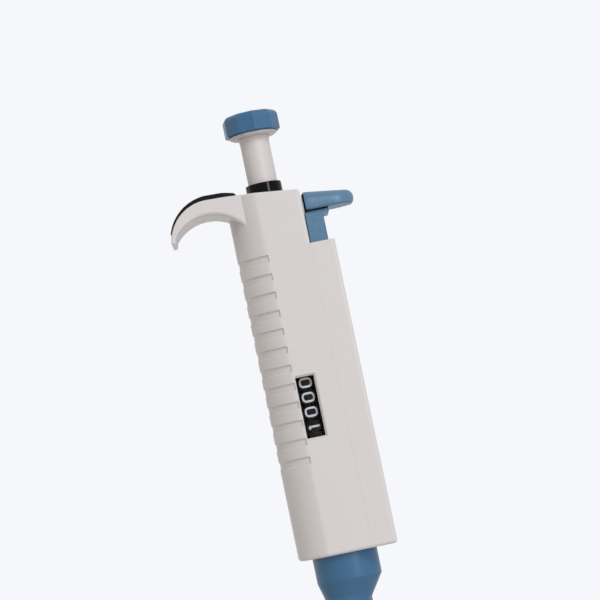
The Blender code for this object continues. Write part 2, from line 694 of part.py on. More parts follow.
def make_hook_pad(parent):
    """Build the soft strip on the hook, thick near the handle and thin at the tip."""
    under = []
    over = []
    for step in range(CURVE_STEPS + 1):
        share = step / CURVE_STEPS
        angle = 90 * DEGREE + (PAD_TIP_ANGLE - 90 * DEGREE) * share
        thick = PAD_THICKNESS + (PAD_TIP_THICKNESS - PAD_THICKNESS) * share
        low = HOOK_OUTER_RADIUS + GAP
        high = low + thick
        under.append((HOOK_ARC_X + low * math.cos(angle), HOOK_ARC_Z + low * math.sin(angle)))
        over.append((HOOK_ARC_X + high * math.cos(angle), HOOK_ARC_Z + high * math.sin(angle)))
    end = [
        (PAD_END_X - PAD_END_RUN, HOOK_TOP + GAP + PAD_THICKNESS - PAD_END_FALL),
        (PAD_END_X, HOOK_TOP + GAP + PAD_END_EDGE),
        (PAD_END_X, HOOK_TOP + GAP - HOOK_FALL),
        (HOOK_FALL_X, HOOK_TOP + GAP),
    ]
    outline = under[::-1] + end[::-1] + over
    return add_object("hook_pad", prism(outline, 2 * PAD_HALF_DEPTH, "Y"), "black_rubber", parent)


def make_window_lens(parent):
    """Build the clear plate that closes the window."""
    half = WINDOW_WIDTH / 2 - GAP
    tall = WINDOW_HEIGHT / 2 - GAP
    front = -HALF_DEPTH + WINDOW_BEVEL + GAP / 2
    lens = block(-half, half, front, front + LENS_THICKNESS, -tall, tall)
    return add_object("window_lens", lens, "clear_lens", parent, (0, 0, WINDOW_CENTRE))


def make_collar(parent):
    """Build the black ring on the handle's top, with a flared mouth that the pressed stem sinks into."""
    inner = STEM_RADIUS + GAP
    height = COLLAR_TOP - COLLAR_BOTTOM
    profile = [
        (inner, 0),
        (COLLAR_RADIUS, 0),
        (COLLAR_RADIUS, height - COLLAR_EDGE),
        (COLLAR_RADIUS - COLLAR_EDGE, height),
        (inner + STEM_FLARE, height),
        (inner, height - FLARE_LENGTH),
    ]
    return add_object("top_collar", turned(profile), "black_plastic", parent, (0, 0, COLLAR_BOTTOM))


def make_counter_frame(parent):
    """Build the frame that carries the wheels: two round plates on a back wall."""
    reach = DRUM_RADIUS + 2 * GAP
    plate = tube(SPINDLE_RADIUS + GAP, reach, PLATE_THICKNESS)
    frame = add_object("counter_frame", plate, "grey_plastic", parent, (0, 0, UPPER_PLATE_BOTTOM))
    lower = tool(
        "counter_lower_plate",
        tube(SPINDLE_PIVOT_RADIUS + GAP, reach, PLATE_THICKNESS),
        (0, 0, LOWER_PLATE_BOTTOM),
    )
    wall = tool(
        "counter_back_wall",
        block(
            -FRAME_WALL_LEFT,
            FRAME_WALL_RIGHT,
            DRUM_RADIUS + GAP,
            DRUM_RADIUS + GAP + FRAME_WALL,
            LOWER_PLATE_BOTTOM,
            UPPER_PLATE_TOP,
        ),
    )
    for extra in (lower, wall):
        combine(frame, extra, "UNION")
    for name, bottom in (("upper_ear", UPPER_PLATE_BOTTOM), ("lower_ear", LOWER_PLATE_BOTTOM)):
        ear = rod(SHAFT_EAR_RADIUS, PLATE_THICKNESS, EAR_STEPS)
        combine(frame, tool(f"counter_{name}", ear, (PINION_X, PINION_Y, bottom)), "UNION")
    hole_length = UPPER_PLATE_TOP - LOWER_PLATE_BOTTOM
    hole = tool(
        "counter_shaft_hole",
        rod(PINION_SHAFT_RADIUS + GAP / 2, hole_length + 2 * CUT_OVERRUN, SHAFT_STEPS),
        (PINION_X, PINION_Y, LOWER_PLATE_BOTTOM - CUT_OVERRUN),
    )
    combine(frame, hole, "DIFFERENCE")
    return frame


def toothed_outline(teeth, pitch_radius, addendum, phase):
    """List four points to a tooth: root, tip, tip and root, anticlockwise."""
    points = []
    root = pitch_radius - DEDENDUM
    tip = pitch_radius + addendum
    for index in range(teeth):
        centre = phase + 2 * math.pi * index / teeth
        half_root = TOOTH_ROOT_WIDTH / 2 / root
        half_tip = TOOTH_TIP_WIDTH / 2 / tip
        for radius, angle in (
            (root, -half_root),
            (tip, -half_tip),
            (tip, half_tip),
            (root, half_root),
        ):
            points.append((radius * math.cos(centre + angle), radius * math.sin(centre + angle)))
    return points


def make_number_wheel(name, parent, centre, toothed):
    """Build one number wheel: a drum with a bore and, on the slower wheels, a toothed ring."""
    outline = toothed_outline(RING_TEETH, RING_PITCH_RADIUS, RING_ADDENDUM, PINION_ANGLE)
    angles = [math.atan2(y, x) for x, y in outline]
    bore = [(WHEEL_BORE * math.cos(a), WHEEL_BORE * math.sin(a)) for a in angles]
    drum = [(DRUM_RADIUS * math.cos(a), DRUM_RADIUS * math.sin(a)) for a in angles]
    ring_top = WHEEL_PITCH - GAP
    levels = [(bore, 0), (drum, 0), (drum, RIM_WIDTH)]
    if toothed:
        levels += [(outline, RIM_WIDTH), (outline, ring_top), (bore, ring_top)]
    else:
        levels += [(bore, RIM_WIDTH)]
    rings = [[(x, y, z) for x, y in points] for points, z in levels]
    mesh = loft(rings, closed=True)
    return add_object(name, mesh, "wheel_plastic", parent, (0, 0, centre - RIM_WIDTH / 2))


def make_pinion(name, parent, wheel_centre):
    """Build one transfer pinion, in mesh with the toothed ring above its wheel's drum."""
    half_tooth = math.pi / PINION_TEETH
    facing = PINION_ANGLE + math.pi + half_tooth
    outline = toothed_outline(PINION_TEETH, PINION_PITCH_RADIUS, PINION_ADDENDUM, facing)
    bore_radius = PINION_SHAFT_RADIUS + GAP
    bore = []
    for x, y in outline:
        angle = math.atan2(y, x)
        bore.append((bore_radius * math.cos(angle), bore_radius * math.sin(angle)))
    levels = [(bore, 0), (outline, 0), (outline, PINION_WIDTH), (bore, PINION_WIDTH)]
    rings = [[(x, y, z) for x, y in points] for points, z in levels]
    zone = WHEEL_PITCH - RIM_WIDTH
    bottom = wheel_centre + RIM_WIDTH / 2 + (zone - PINION_WIDTH) / 2
    mesh = loft(rings, closed=True)
    return add_object(name, mesh, "grey_plastic", parent, (0, 0, bottom))


def make_counter(handle, dial):
    """Build the frame, four number wheels, the pinion shaft and three transfer pinions."""
    make_counter_frame(handle)
    make_number_wheel("units_wheel", dial, TOP_WHEEL, toothed=False)
    shaft_bottom = LOWER_PLATE_BOTTOM
    shaft = rod(PINION_SHAFT_RADIUS, UPPER_PLATE_TOP - shaft_bottom, SHAFT_STEPS)
    add_object("pinion_shaft", shaft, "steel", handle, (PINION_X, PINION_Y, shaft_bottom))
    for index, word in enumerate(("tens", "hundreds", "thousands")):
        centre = TOP_WHEEL - (index + 1) * WHEEL_PITCH
        wheel_body = empty(f"{word}_wheel_axis", (0, 0, 0), handle)
        make_number_wheel(f"{word}_wheel", wheel_body, centre, toothed=True)
        pinion_body = empty(f"{word}_pinion_axis", (PINION_X, PINION_Y, 0), handle)
        make_pinion(f"transfer_pinion_{word}", pinion_body, centre)


def hexagon(radius):
    """List the corners of the six-sided rod's section."""
    return arc(0, 0, radius, 0, 2 * math.pi * (ROD_SIDES - 1) / ROD_SIDES, ROD_SIDES - 1)


def make_spindle(dial):
    """Build the setting screw, axially held between the counter's plates, with a six-sided bore."""
    pivot_length = PLATE_THICKNESS - GAP
    start = LOWER_PLATE_TOP - pivot_length
    step = pivot_length + GAP
    length = SPINDLE_TOP - start
    profile = [
        (0, 0),
        (SPINDLE_PIVOT_RADIUS, 0),
        (SPINDLE_PIVOT_RADIUS, step),
        (SPINDLE_RADIUS, step),
        (SPINDLE_RADIUS, length),
        (0, length),
    ]
    spindle = add_object("volume_spindle", turned(profile, SMALL_STEPS), "brass", dial, (0, 0, start))
    bore = prism(hexagon(SPINDLE_BORE), length + 2 * CUT_OVERRUN)
    combine(spindle, tool("spindle_bore", bore, (0, 0, start - CUT_OVERRUN)), "DIFFERENCE")


def make_volume_nut(parent):
    """Build the nut: threaded foot, cup that holds the second spring, and two guide ears."""
    height = NUT_THREAD_LENGTH + NUT_CUP_DEPTH
    profile = [
        (SPINDLE_RADIUS + GAP, 0),
        (NUT_RADIUS, 0),
        (NUT_RADIUS, height),
        (NUT_CUP_RADIUS, height),
        (NUT_CUP_RADIUS, NUT_THREAD_LENGTH),
        (SPINDLE_RADIUS + GAP, NUT_THREAD_LENGTH),
    ]
    nut = add_object("volume_nut", turned(profile), "brass", parent, (0, 0, NUT_BOTTOM))
    for name, sign in (("nut_front_ear", -1), ("nut_back_ear", 1)):
        near = sign * (NUT_RADIUS - NUT_EAR_ROOT)
        far = sign * (NUT_RADIUS + NUT_EAR_REACH)
        half = NUT_EAR_WIDTH / 2
        ear = block(-half, half, min(near, far), max(near, far), NUT_BOTTOM, NUT_FLOOR)
        combine(nut, tool(name, ear), "UNION")
    spring(
        "blowout_spring",
        (SPINDLE_RADIUS + NUT_CUP_RADIUS) / 2,
        BLOWOUT_WIRE,
        NUT_FLOOR + SPRING_SEAT,
        FLANGE_BOTTOM - FIRST_STOP_TRAVEL,
        BLOWOUT_TURNS,
        parent,
    )


def make_nut_guide(handle):
    """Build the slotted tube between the counter and the stem's bush."""
    bottom = UPPER_PLATE_TOP + GAP
    top = FLANGE_TOP
    guide = add_object(
        "nut_guide", tube(GUIDE_BORE, GUIDE_RADIUS, top - bottom), "grey_plastic", handle, (0, 0, bottom)
    )
    half = NUT_EAR_WIDTH / 2 + GAP
    slot_top = NUT_FLOOR + NUT_TRAVEL + END_GAP
    reach = GUIDE_RADIUS + CUT_OVERRUN
    slot = block(-half, half, -reach, reach, bottom + SLOT_FOOT, slot_top)
    combine(guide, tool("nut_guide_slots", slot), "DIFFERENCE")
    add_object(
        "spindle_drag_ring",
        torus(SPINDLE_RADIUS + DRAG_RING_WIRE + SEAL_PLAY, DRAG_RING_WIRE),
        "black_rubber",
        handle,
        (0, 0, UPPER_PLATE_TOP + SEAL_PLAY),
    )
    bush_bottom = FLANGE_TOP + GAP
    add_object(
        "stem_guide",
        tube(STEM_RADIUS + GAP, GUIDE_BUSH_RADIUS, CAVITY_TOP - GAP - bush_bottom),
        "grey_plastic",
        handle,
        (0, 0, bush_bottom),
    )


def make_plunger(parent):
    """Build the button, its disc, the stem, the stop flange and the six-sided rod."""
    rod_top = BUTTON_BOTTOM + BUTTON_SOCKET_DEPTH - GAP
    stem_length = DISC_BOTTOM - FLANGE_TOP
    flare = STEM_RADIUS + STEM_FLARE
    stem = [
        (STEM_BORE, 0),
        (STEM_RADIUS, 0),
        (STEM_RADIUS, stem_length - FLARE_LENGTH),
        (flare, stem_length - GAP),
        (STEM_BORE, stem_length - GAP),
    ]
    add_object("plunger_stem", turned(stem), "stem_plastic", parent, (0, 0, FLANGE_TOP + GAP / 2))
    add_object(
        "stop_flange",
        tube(STEM_BORE, FLANGE_RADIUS, FLANGE_THICKNESS - GAP / 2),
        "steel",
        parent,
        (0, 0, FLANGE_BOTTOM),
    )
    add_object(
        "button_disc",
        turned(
            [
                (STEM_BORE, GAP / 2),
                (DISC_RADIUS - DISC_EDGE, GAP / 2),
                (DISC_RADIUS, DISC_THICKNESS / 2),
                (DISC_RADIUS, DISC_THICKNESS),
                (STEM_BORE, DISC_THICKNESS),
            ]
        ),
        "stem_plastic",
        parent,
        (0, 0, DISC_BOTTOM),
    )
    make_button(parent)
    add_object(
        "operating_rod",
        prism(hexagon(ROD_RADIUS), rod_top - ROD_BOTTOM),
        "steel",
        parent,
        (0, 0, ROD_BOTTOM),
    )


def make_button(parent):
    """Build the ten-sided cap with its rounded upper edge and the socket for the rod."""
    side = math.pi / BUTTON_SIDES

    def facets(radius, height):
        reach = radius / math.cos(side)
        first = BUTTON_TURN - 90 * DEGREE
        turn = [first + 2 * math.pi * index / BUTTON_SIDES for index in range(BUTTON_SIDES)]
        return [(reach * math.cos(a), reach * math.sin(a), height) for a in turn]

    flat = BUTTON_RADIUS * math.cos(side)
    shoulder = BUTTON_HEIGHT - BUTTON_EDGE
    rings = [facets(flat - BUTTON_FOOT, 0), facets(flat, BUTTON_FOOT), facets(flat, shoulder)]
    for step in range(1, BUTTON_EDGE_STEPS + 1):
        turn = 90 * DEGREE * step / BUTTON_EDGE_STEPS
        radius = flat - BUTTON_EDGE * (1 - math.cos(turn))
        rings.append(facets(radius, shoulder + BUTTON_EDGE * math.sin(turn)))
    cap = add_object("push_button_cap", loft(rings), "blue_plastic", parent, (0, 0, BUTTON_BOTTOM))
    socket = prism(hexagon(SPINDLE_BORE), BUTTON_SOCKET_DEPTH + CUT_OVERRUN)
    combine(cap, tool("button_socket", socket, (0, 0, BUTTON_BOTTOM - CUT_OVERRUN)), "DIFFERENCE")


def make_piston_group(handle, piston_body):
    """Build the nose tube, cylinder, seal, retainer, return spring, head and piston."""
    flange_radius = GUIDE_RADIUS
    nose = [
        (NOSE_BORE, 0),
        (NOSE_RADIUS, 0),
        (NOSE_RADIUS, NOSE_LENGTH - NOSE_FLANGE),
        (flange_radius, NOSE_LENGTH - NOSE_FLANGE),
        (flange_radius, NOSE_LENGTH),
        (NOSE_BORE, NOSE_LENGTH),
    ]
    add_object("nose_tube", turned(nose), "grey_plastic", handle, (0, 0, NOSE_BOTTOM))

    neck = NOSE_BOTTOM - CYLINDER_BOTTOM
    length = CYLINDER_TOP - CYLINDER_BOTTOM
    cylinder = [
        (CYLINDER_BORE, 0),
        (CYLINDER_RADIUS, 0),
        (CYLINDER_RADIUS, neck),
        (CYLINDER_NECK_RADIUS, neck),
        (CYLINDER_NECK_RADIUS, length),
        (CYLINDER_BORE, length),
    ]
    add_object(
        "piston_cylinder", turned(cylinder), "cylinder_plastic", handle, (0, 0, CYLINDER_BOTTOM)
    )
    seal_radius = PISTON_RADIUS + SEAL_PLAY + SEAL_WIRE
    add_object(
        "piston_seal", torus(seal_radius, SEAL_WIRE), "black_rubber", handle, (0, 0, SEAL_BOTTOM)
    )
    add_object(
        "seal_retainer",
        tube(CYLINDER_BORE, CYLINDER_NECK_RADIUS, RETAINER_HEIGHT),
        "brass",
        handle,
        (0, 0, RETAINER_BOTTOM),
    )
    spring(
        "return_spring",
        PISTON_RADIUS + RUNNING_GAP + RETURN_WIRE / 2,
        RETURN_WIRE,
        RETAINER_TOP + SPRING_SEAT,
        HEAD_BOTTOM - SPRING_SEAT,
        RETURN_TURNS,
        handle,
    )
    add_object(
        "piston_head", rod(CYLINDER_NECK_RADIUS, HEAD_THICKNESS), "grey_plastic", piston_body,
        (0, 0, HEAD_BOTTOM),
    )
    add_object(
        "piston",
        rod(PISTON_RADIUS, PISTON_TOP - PISTON_BOTTOM),
        "steel",
        piston_body,
        (0, 0, PISTON_BOTTOM),
    )


def make_tip_cone(handle):
    """Build the lower cone, bored through, with the spigot that closes the cylinder."""
    shank_top = CYLINDER_BOTTOM - GAP
    spigot = CYLINDER_BORE - GAP
    profile = [
        (AIR_BORE, 0),
        (TIP_END_RADIUS, 0),
        (TIP_TOP_RADIUS, TIP_LENGTH),
        (SHANK_RADIUS, shank_top - SHANK_LENGTH),
        (SHANK_RADIUS, shank_top),
        (spigot, shank_top),
        (spigot, CHAMBER_FLOOR),
        (AIR_BORE, CHAMBER_FLOOR),
    ]
    add_object("tip_cone", turned(profile), "cylinder_plastic", handle)


def sleeve_outline(left, right, half_depth, grow=0.0, steps=ROUND_STEPS):
    """Outline the sleeve at one height, an oval set off towards the ejector."""
    centre = (right - left) / 2
    wide = (right + left) / 2 + grow
    deep = half_depth + grow
    step_angle = 2 * math.pi / steps
    return [
        (centre + wide * math.cos(step_angle * n), deep * math.sin(step_angle * n))
        for n in range(steps)
    ]


def make_sleeve(parent):
    """Build the ejector sleeve: oval head, shoulder, round barrel and tapered end, with an ear."""
    barrel = SLEEVE_BARREL_RADIUS
    draft = SLEEVE_DRAFT
    shoulder = BODY_BOTTOM - SLEEVE_SHOULDER_DROP
    neck = BODY_BOTTOM - SLEEVE_NECK_DROP
    levels = [
        (SLEEVE_TOP, SLEEVE_LEFT, SLEEVE_RIGHT, SLEEVE_HALF_DEPTH),
        (shoulder, SLEEVE_LEFT - draft, SLEEVE_RIGHT - draft, SLEEVE_HALF_DEPTH - draft),
        (neck, SLEEVE_NECK_LEFT, SLEEVE_NECK_RIGHT, SLEEVE_NECK_HALF_DEPTH),
        (BODY_BOTTOM - SLEEVE_BARREL_DROP, barrel, barrel, barrel),
        (SLEEVE_TAPER_TOP, barrel, barrel, barrel),
        (SLEEVE_BOTTOM, SLEEVE_END_RADIUS, SLEEVE_END_RADIUS, SLEEVE_END_RADIUS),
    ]
    outside = [
        [(x, y, z) for x, y in sleeve_outline(left, right, deep)] for z, left, right, deep in levels
    ]
    inside = [
        [(x, y, z) for x, y in sleeve_outline(left, right, deep, -SLEEVE_WALL)]
        for z, left, right, deep in reversed(levels)
    ]
    mesh = loft(outside + inside, closed=True)
    sleeve = add_object("ejector_sleeve", mesh, "blue_plastic", parent)
    ear = block(
        SLEEVE_RIGHT - SLEEVE_WALL / 2,
        SLEEVE_RIGHT + EAR_REACH,
        -BAR_HALF_WIDTH,
        BAR_HALF_WIDTH,
        EAR_BOTTOM,
        SLEEVE_TOP,
    )
    combine(sleeve, tool("sleeve_ear", ear), "UNION")


def pad_outline():
    """Outline the thumb pad in X and Z: flat below, sloping above, round at its free end."""
    bottom = EJECT_PAD_BOTTOM
    left_top = bottom + EJECT_PAD_HEIGHT
    fall = math.tan(EJECT_PAD_SLOPE)
    radius = EJECT_PAD_END
    end_top = left_top - (EJECT_PAD_LENGTH - radius) * fall
    centre_x = EJECT_PAD_RIGHT - radius
    nose = arc(
        centre_x,
        end_top - radius,
        radius,
        90 * DEGREE - EJECT_PAD_SLOPE,
        EJECT_PAD_NOSE_ANGLE,
        EJECT_PAD_NOSE_STEPS,
    )
    return [
        (EJECT_PAD_LEFT, bottom),
        (EJECT_PAD_LEFT, left_top - EJECT_PAD_EDGE),
        (EJECT_PAD_LEFT + EJECT_PAD_EDGE, left_top - EJECT_PAD_EDGE * fall),
    ] + nose + [(EJECT_PAD_RIGHT - EJECT_PAD_UNDERCUT, bottom)]


def make_ejector(parent, handle):
    """Build the thumb pad, its bracket, the post, the bar, the sleeve and the ejector's spring."""
    pad_mesh = prism(pad_outline(), 2 * EJECT_PAD_HALF_DEPTH, "Y")
    pad = add_object("ejector_pad", pad_mesh, "blue_plastic", parent)
    curve = EJECT_PAD_CURVE
    deep = EJECT_PAD_HALF_DEPTH
    plan = [(EJECT_PAD_LEFT - CUT_OVERRUN, -deep)]
    plan += arc(EJECT_PAD_RIGHT - curve, 0, curve, -90 * DEGREE, 90 * DEGREE, OVAL_STEPS, deep)
    plan += [(EJECT_PAD_LEFT - CUT_OVERRUN, deep)]
    trim = prism(plan, EJECT_PAD_HEIGHT + 2 * CUT_OVERRUN)
    combine(pad, tool("pad_plan", trim, (0, 0, EJECT_PAD_BOTTOM - CUT_OVERRUN)), "INTERSECT")

    lip_right = POST_RIGHT + LIP_REACH
    top = POST_TOP
    post = [
        (POST_LEFT, POST_BOTTOM),
        (POST_RIGHT, POST_BOTTOM),
        (POST_RIGHT, top - LIP_HEIGHT),
        (lip_right - LIP_CHAMFER, top - LIP_HEIGHT),
        (lip_right, top - LIP_HEIGHT + LIP_CHAMFER),
        (lip_right, top),
        (POST_LEFT, top),
    ]
    post_mesh = prism(post, 2 * POST_HALF_WIDTH, "Y")
    add_object("ejector_post", post_mesh, "blue_plastic", parent)

    thick = BRACKET_THICKNESS
    bracket_top = EJECT_PAD_BOTTOM + EJECT_PAD_HEIGHT - BRACKET_TOP_DROP
    bracket = [
        (BRACKET_LEFT, BRACKET_BOTTOM),
        (lip_right, BRACKET_BOTTOM),
        (lip_right, BRACKET_BOTTOM + thick),
        (BRACKET_LEFT + thick, BRACKET_BOTTOM + thick),
        (BRACKET_LEFT + thick, bracket_top),
        (BRACKET_LEFT, bracket_top),
    ]
    bracket_mesh = prism(bracket, 2 * BRACKET_HALF_DEPTH, "Y")
    add_object("ejector_bracket", bracket_mesh, "black_plastic", parent)

    bar = block(BAR_LEFT, BAR_RIGHT, -BAR_HALF_WIDTH, BAR_HALF_WIDTH, BAR_BOTTOM, POST_BOTTOM - GAP)
    add_object("ejector_bar", bar, "steel", parent)
    make_sleeve(parent)

    spring_x = BAR_RIGHT + GAP + EJECT_WIRE / 2 + EJECT_SPRING_RADIUS
    spring(
        "ejector_spring",
        EJECT_SPRING_RADIUS,
        EJECT_WIRE,
        LEDGE_TOP + SPRING_SEAT,
        POST_BOTTOM - SPRING_SEAT,
        EJECT_TURNS,
        handle,
        spring_x,
    )


def build():
    """Build the pipette, one body after the other."""
    clear_scene()
    handle = empty("handle_body")
    dial = empty("dial_axis", parent=handle)
    plunger = empty("plunger_axis", parent=dial)
    nut_body = empty("nut_axis", parent=handle)
    piston_body = empty("piston_axis", parent=handle)
    ejector = empty("ejector_slide", parent=handle)

    make_handle_shell(handle)
    make_ejector_cover(handle)
    make_hook_pad(handle)
    make_window_lens(handle)
    make_collar(handle)
    make_counter(handle, dial)
    make_spindle(dial)
    make_volume_nut(nut_body)
    make_nut_guide(handle)
    make_plunger(plunger)
    make_piston_group(handle, piston_body)
    make_tip_cone(handle)
    make_ejector(ejector, handle)


build()
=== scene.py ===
"""Looks of an adjustable air displacement pipette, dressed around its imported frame.

Metres, +Z up the plunger axis. The finger hook is at -X, the tip ejector at +X and the counter window
at -Y. Each sub-assembly is a class whose fields are its sizes, and main() builds them in order.
"""

import json
import logging
import math
from collections.abc import Iterable, Sequence
from dataclasses import dataclass, field
from enum import Enum

import bmesh
import bpy
from mathutils import Matrix, Vector

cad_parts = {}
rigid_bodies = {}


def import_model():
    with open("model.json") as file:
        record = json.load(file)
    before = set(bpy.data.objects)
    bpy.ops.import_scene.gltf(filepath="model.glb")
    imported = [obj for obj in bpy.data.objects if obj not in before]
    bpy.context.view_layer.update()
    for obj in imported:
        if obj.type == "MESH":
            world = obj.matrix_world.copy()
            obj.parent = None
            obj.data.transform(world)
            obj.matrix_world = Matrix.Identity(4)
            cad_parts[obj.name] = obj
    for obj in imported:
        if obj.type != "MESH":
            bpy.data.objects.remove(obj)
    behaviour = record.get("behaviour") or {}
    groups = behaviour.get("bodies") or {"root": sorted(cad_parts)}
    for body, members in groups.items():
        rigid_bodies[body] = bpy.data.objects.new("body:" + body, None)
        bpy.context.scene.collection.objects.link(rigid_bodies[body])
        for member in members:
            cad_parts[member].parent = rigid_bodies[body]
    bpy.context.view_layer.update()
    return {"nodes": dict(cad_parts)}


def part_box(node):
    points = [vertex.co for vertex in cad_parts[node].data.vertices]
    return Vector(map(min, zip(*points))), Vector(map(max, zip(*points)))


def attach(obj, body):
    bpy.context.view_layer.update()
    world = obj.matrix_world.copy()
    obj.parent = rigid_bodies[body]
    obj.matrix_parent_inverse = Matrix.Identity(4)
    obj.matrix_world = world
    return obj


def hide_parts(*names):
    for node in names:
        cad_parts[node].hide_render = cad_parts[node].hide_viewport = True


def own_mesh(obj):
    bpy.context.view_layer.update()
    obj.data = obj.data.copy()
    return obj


MM = 0.001
DEGREE = math.pi / 180
CREASE = 32 * DEGREE
FACET_CREASE = 40 * DEGREE
MERGE_DISTANCE = 1e-7
STRAIGHT = math.pi - 0.02
FILLET_ROOM = 0.48
LOG = logging.getLogger("pipette")

Point2 = tuple[float, float]
Point3 = tuple[float, float, float]
Colour = tuple[int, int, int]


class Axis(Enum):
    """The direction that an outline is extruded along."""

    Y = "Y"
    Z = "Z"


class Cut(Enum):
    """How one solid is combined with another."""

    ADD = "UNION"
    REMOVE = "DIFFERENCE"


def linear(colour: Colour) -> tuple[float, float, float, float]:
    """Turn a screen colour into the linear values that shaders take.

    Args:
        colour: Red, green and blue from 0 to 255.

    Returns:
        Linear red, green and blue, and an alpha of one.
    """
    shares = [part / 255 for part in colour]
    values = [s / 12.92 if s <= 0.04045 else ((s + 0.055) / 1.055) ** 2.4 for s in shares]
    return (values[0], values[1], values[2], 1.0)


# Outlines


def arc(centre: Point2, radius: float, start: float, end: float, steps: int) -> list[Point2]:
    """List the points of a round arc.

    Args:
        centre: Its middle.
        radius: Its radius.
        start: First angle, in radians.
        end: Last angle, in radians.
        steps: Number of chords.

    Returns:
        The points, one more than the chords.
    """
    turns = [start + (end - start) * step / steps for step in range(steps + 1)]
    return [(centre[0] + radius * math.cos(t), centre[1] + radius * math.sin(t)) for t in turns]


def rounded(corners: Sequence[Point3], closed: bool = False, steps: int = 5) -> list[Point2]:
    """Round the corners of an outline with true arcs.

    Args:
        corners: Each corner's two coordinates and the radius of its fillet.
        closed: Whether the last corner joins the first.
        steps: Chords in each fillet.

    Returns:
        The points of the rounded outline.
    """
    points: list[Point2] = []
    count = len(corners)
    for index, (x, y, radius) in enumerate(corners):
        inner = closed or 0 < index < count - 1
        if radius <= 0 or not inner:
            points.append((x, y))
            continue
        here = Vector((x, y))
        before = Vector(corners[index - 1][:2]) - here
        after = Vector(corners[(index + 1) % count][:2]) - here
        angle = before.angle(after)
        if angle > STRAIGHT:
            points.append((x, y))
            continue
        room = FILLET_ROOM * min(before.length, after.length)
        reach = min(radius / math.tan(angle / 2), room)
        real = reach * math.tan(angle / 2)
        centre = here + (before.normalized() + after.normalized()).normalized() * real / math.sin(angle / 2)
        first = here + before.normalized() * reach - centre
        last = here + after.normalized() * reach - centre
        sweep = first.angle(last)
        for step in range(steps + 1):
            share = step / steps
            mix = first * math.sin((1 - share) * sweep) + last * math.sin(share * sweep)
            spot = centre + mix / math.sin(sweep)
            points.append((spot.x, spot.y))
    return points


def rectangle(left: float, right: float, low: float, high: float, radius: float) -> list[Point2]:
    """Outline a rectangle with four round corners."""
    corners = [(left, low, radius), (right, low, radius), (right, high, radius), (left, high, radius)]
    return rounded(corners, closed=True)


def quarter_round(radius: float, steps: int) -> list[Point2]:
    """List the steps of a rounded edge.

    Args:
        radius: Its radius.
        steps: Number of chords.

    Returns:
        Pairs that run from no fall and the full radius to the full radius and no fall.
    """
    turns = [90 * DEGREE * step / steps for step in range(steps + 1)]
    return [(radius * (1 - math.cos(t)), radius * (1 - math.sin(t))) for t in turns]


def softened(levels: Sequence[Point2], height: float, width: float) -> float:
    """Read a size from a table of straight runs, with each bend eased over a width.

    Args:
        levels: Pairs of height and size, in rising height.
        height: Where to read.
        width: Length over which a bend is eased.

    Returns:
        The size there.
    """

    def plain(spot: float) -> float:
        """Read the table without easing.

        Args:
            spot: Where to read.

        Returns:
            The size on the straight run there.
        """
        if spot <= levels[0][0]:
            return levels[0][1]
        for (low, first), (high, second) in zip(levels, levels[1:]):
            if spot <= high:
                return first + (second - first) * (spot - low) / (high - low)
        return levels[-1][1]

    samples = 9
    offsets = [(step / (samples - 1) - 0.5) * width for step in range(samples)]
    return sum(plain(height + offset) for offset in offsets) / samples


# Solids


def loft(rings: Sequence[Sequence[Point3]], around: bool = False, caps: bool = True) -> bmesh.types.BMesh:
    """Join rings of equal point counts.

    Args:
        rings: The rings, in order.
        around: Whether the last ring joins the first, as on a hollow tube.
        caps: Whether the two ends get a face each.

    Returns:
        The joined mesh.
    """
    mesh = bmesh.new()
    loops = [[mesh.verts.new(point) for point in ring] for ring in rings]
    pairs = list(zip(loops, loops[1:]))
    if around:
        pairs.append((loops[-1], loops[0]))
    elif caps:
        mesh.faces.new(loops[0])
        mesh.faces.new(loops[-1])
    for lower, upper in pairs:
        for index in range(len(lower)):
            following = (index + 1) % len(lower)
            mesh.faces.new((lower[index], lower[following], upper[following], upper[index]))
    return mesh


def turned(profile: Sequence[Point2], steps: int = 96) -> bmesh.types.BMesh:
    """Turn a profile about the Z axis.

    Args:
        profile: Radius and height of each point. One that ends on the axis makes a solid, one that
            stays clear of it makes a tube.
        steps: Facets round the axis.

    Returns:
        The turned mesh.
    """
    mesh = bmesh.new()
    loops: list[list[bmesh.types.BMVert]] = []
    for radius, height in profile:
        if radius < MERGE_DISTANCE:
            loops.append([mesh.verts.new((0, 0, height))])
            continue
        turns = [2 * math.pi * step / steps for step in range(steps)]
        loops.append([mesh.verts.new((radius * math.cos(t), radius * math.sin(t), height)) for t in turns])
    pairs = list(zip(loops, loops[1:]))
    if len(loops[0]) > 1:
        pairs.append((loops[-1], loops[0]))
    for lower, upper in pairs:
        for index in range(steps):
            following = (index + 1) % steps
            if len(lower) == 1 and len(upper) == 1:
                break
            if len(lower) == 1:
                mesh.faces.new((lower[0], upper[following], upper[index]))
            elif len(upper) == 1:
                mesh.faces.new((lower[index], lower[following], upper[0]))
            else:
                mesh.faces.new((lower[index], lower[following], upper[following], upper[index]))
    return mesh


def prism(
    outline: Sequence[Point2], low: float, high: float, axis: Axis, edge: float = 0.0
) -> bmesh.types.BMesh:
    """Extrude an outline, with the edges of its two ends rounded.

    Args:
        outline: Points in X and Y for Z, or in X and Z for Y.
        low: Where it starts along the axis.
        high: Where it ends along the axis.
        axis: Direction of the extrusion.
        edge: Radius of the two end edges.

    Returns:
        The extruded mesh.
    """

    def place(point: Point2, along: float) -> Point3:
        """Set a point of the outline at its place along the axis."""
        return (point[0], point[1], along) if axis is Axis.Z else (point[0], along, point[1])

    mesh = loft([[place(point, along) for point in outline] for along in (low, high)])
    if edge > 0:
        ends = [line for line in mesh.edges if any(len(face.verts) > 4 for face in line.link_faces)]
        bmesh.ops.bevel(
            mesh, geom=ends, offset=edge, segments=3, profile=0.5, affect="EDGES", clamp_overlap=True
        )
    return mesh


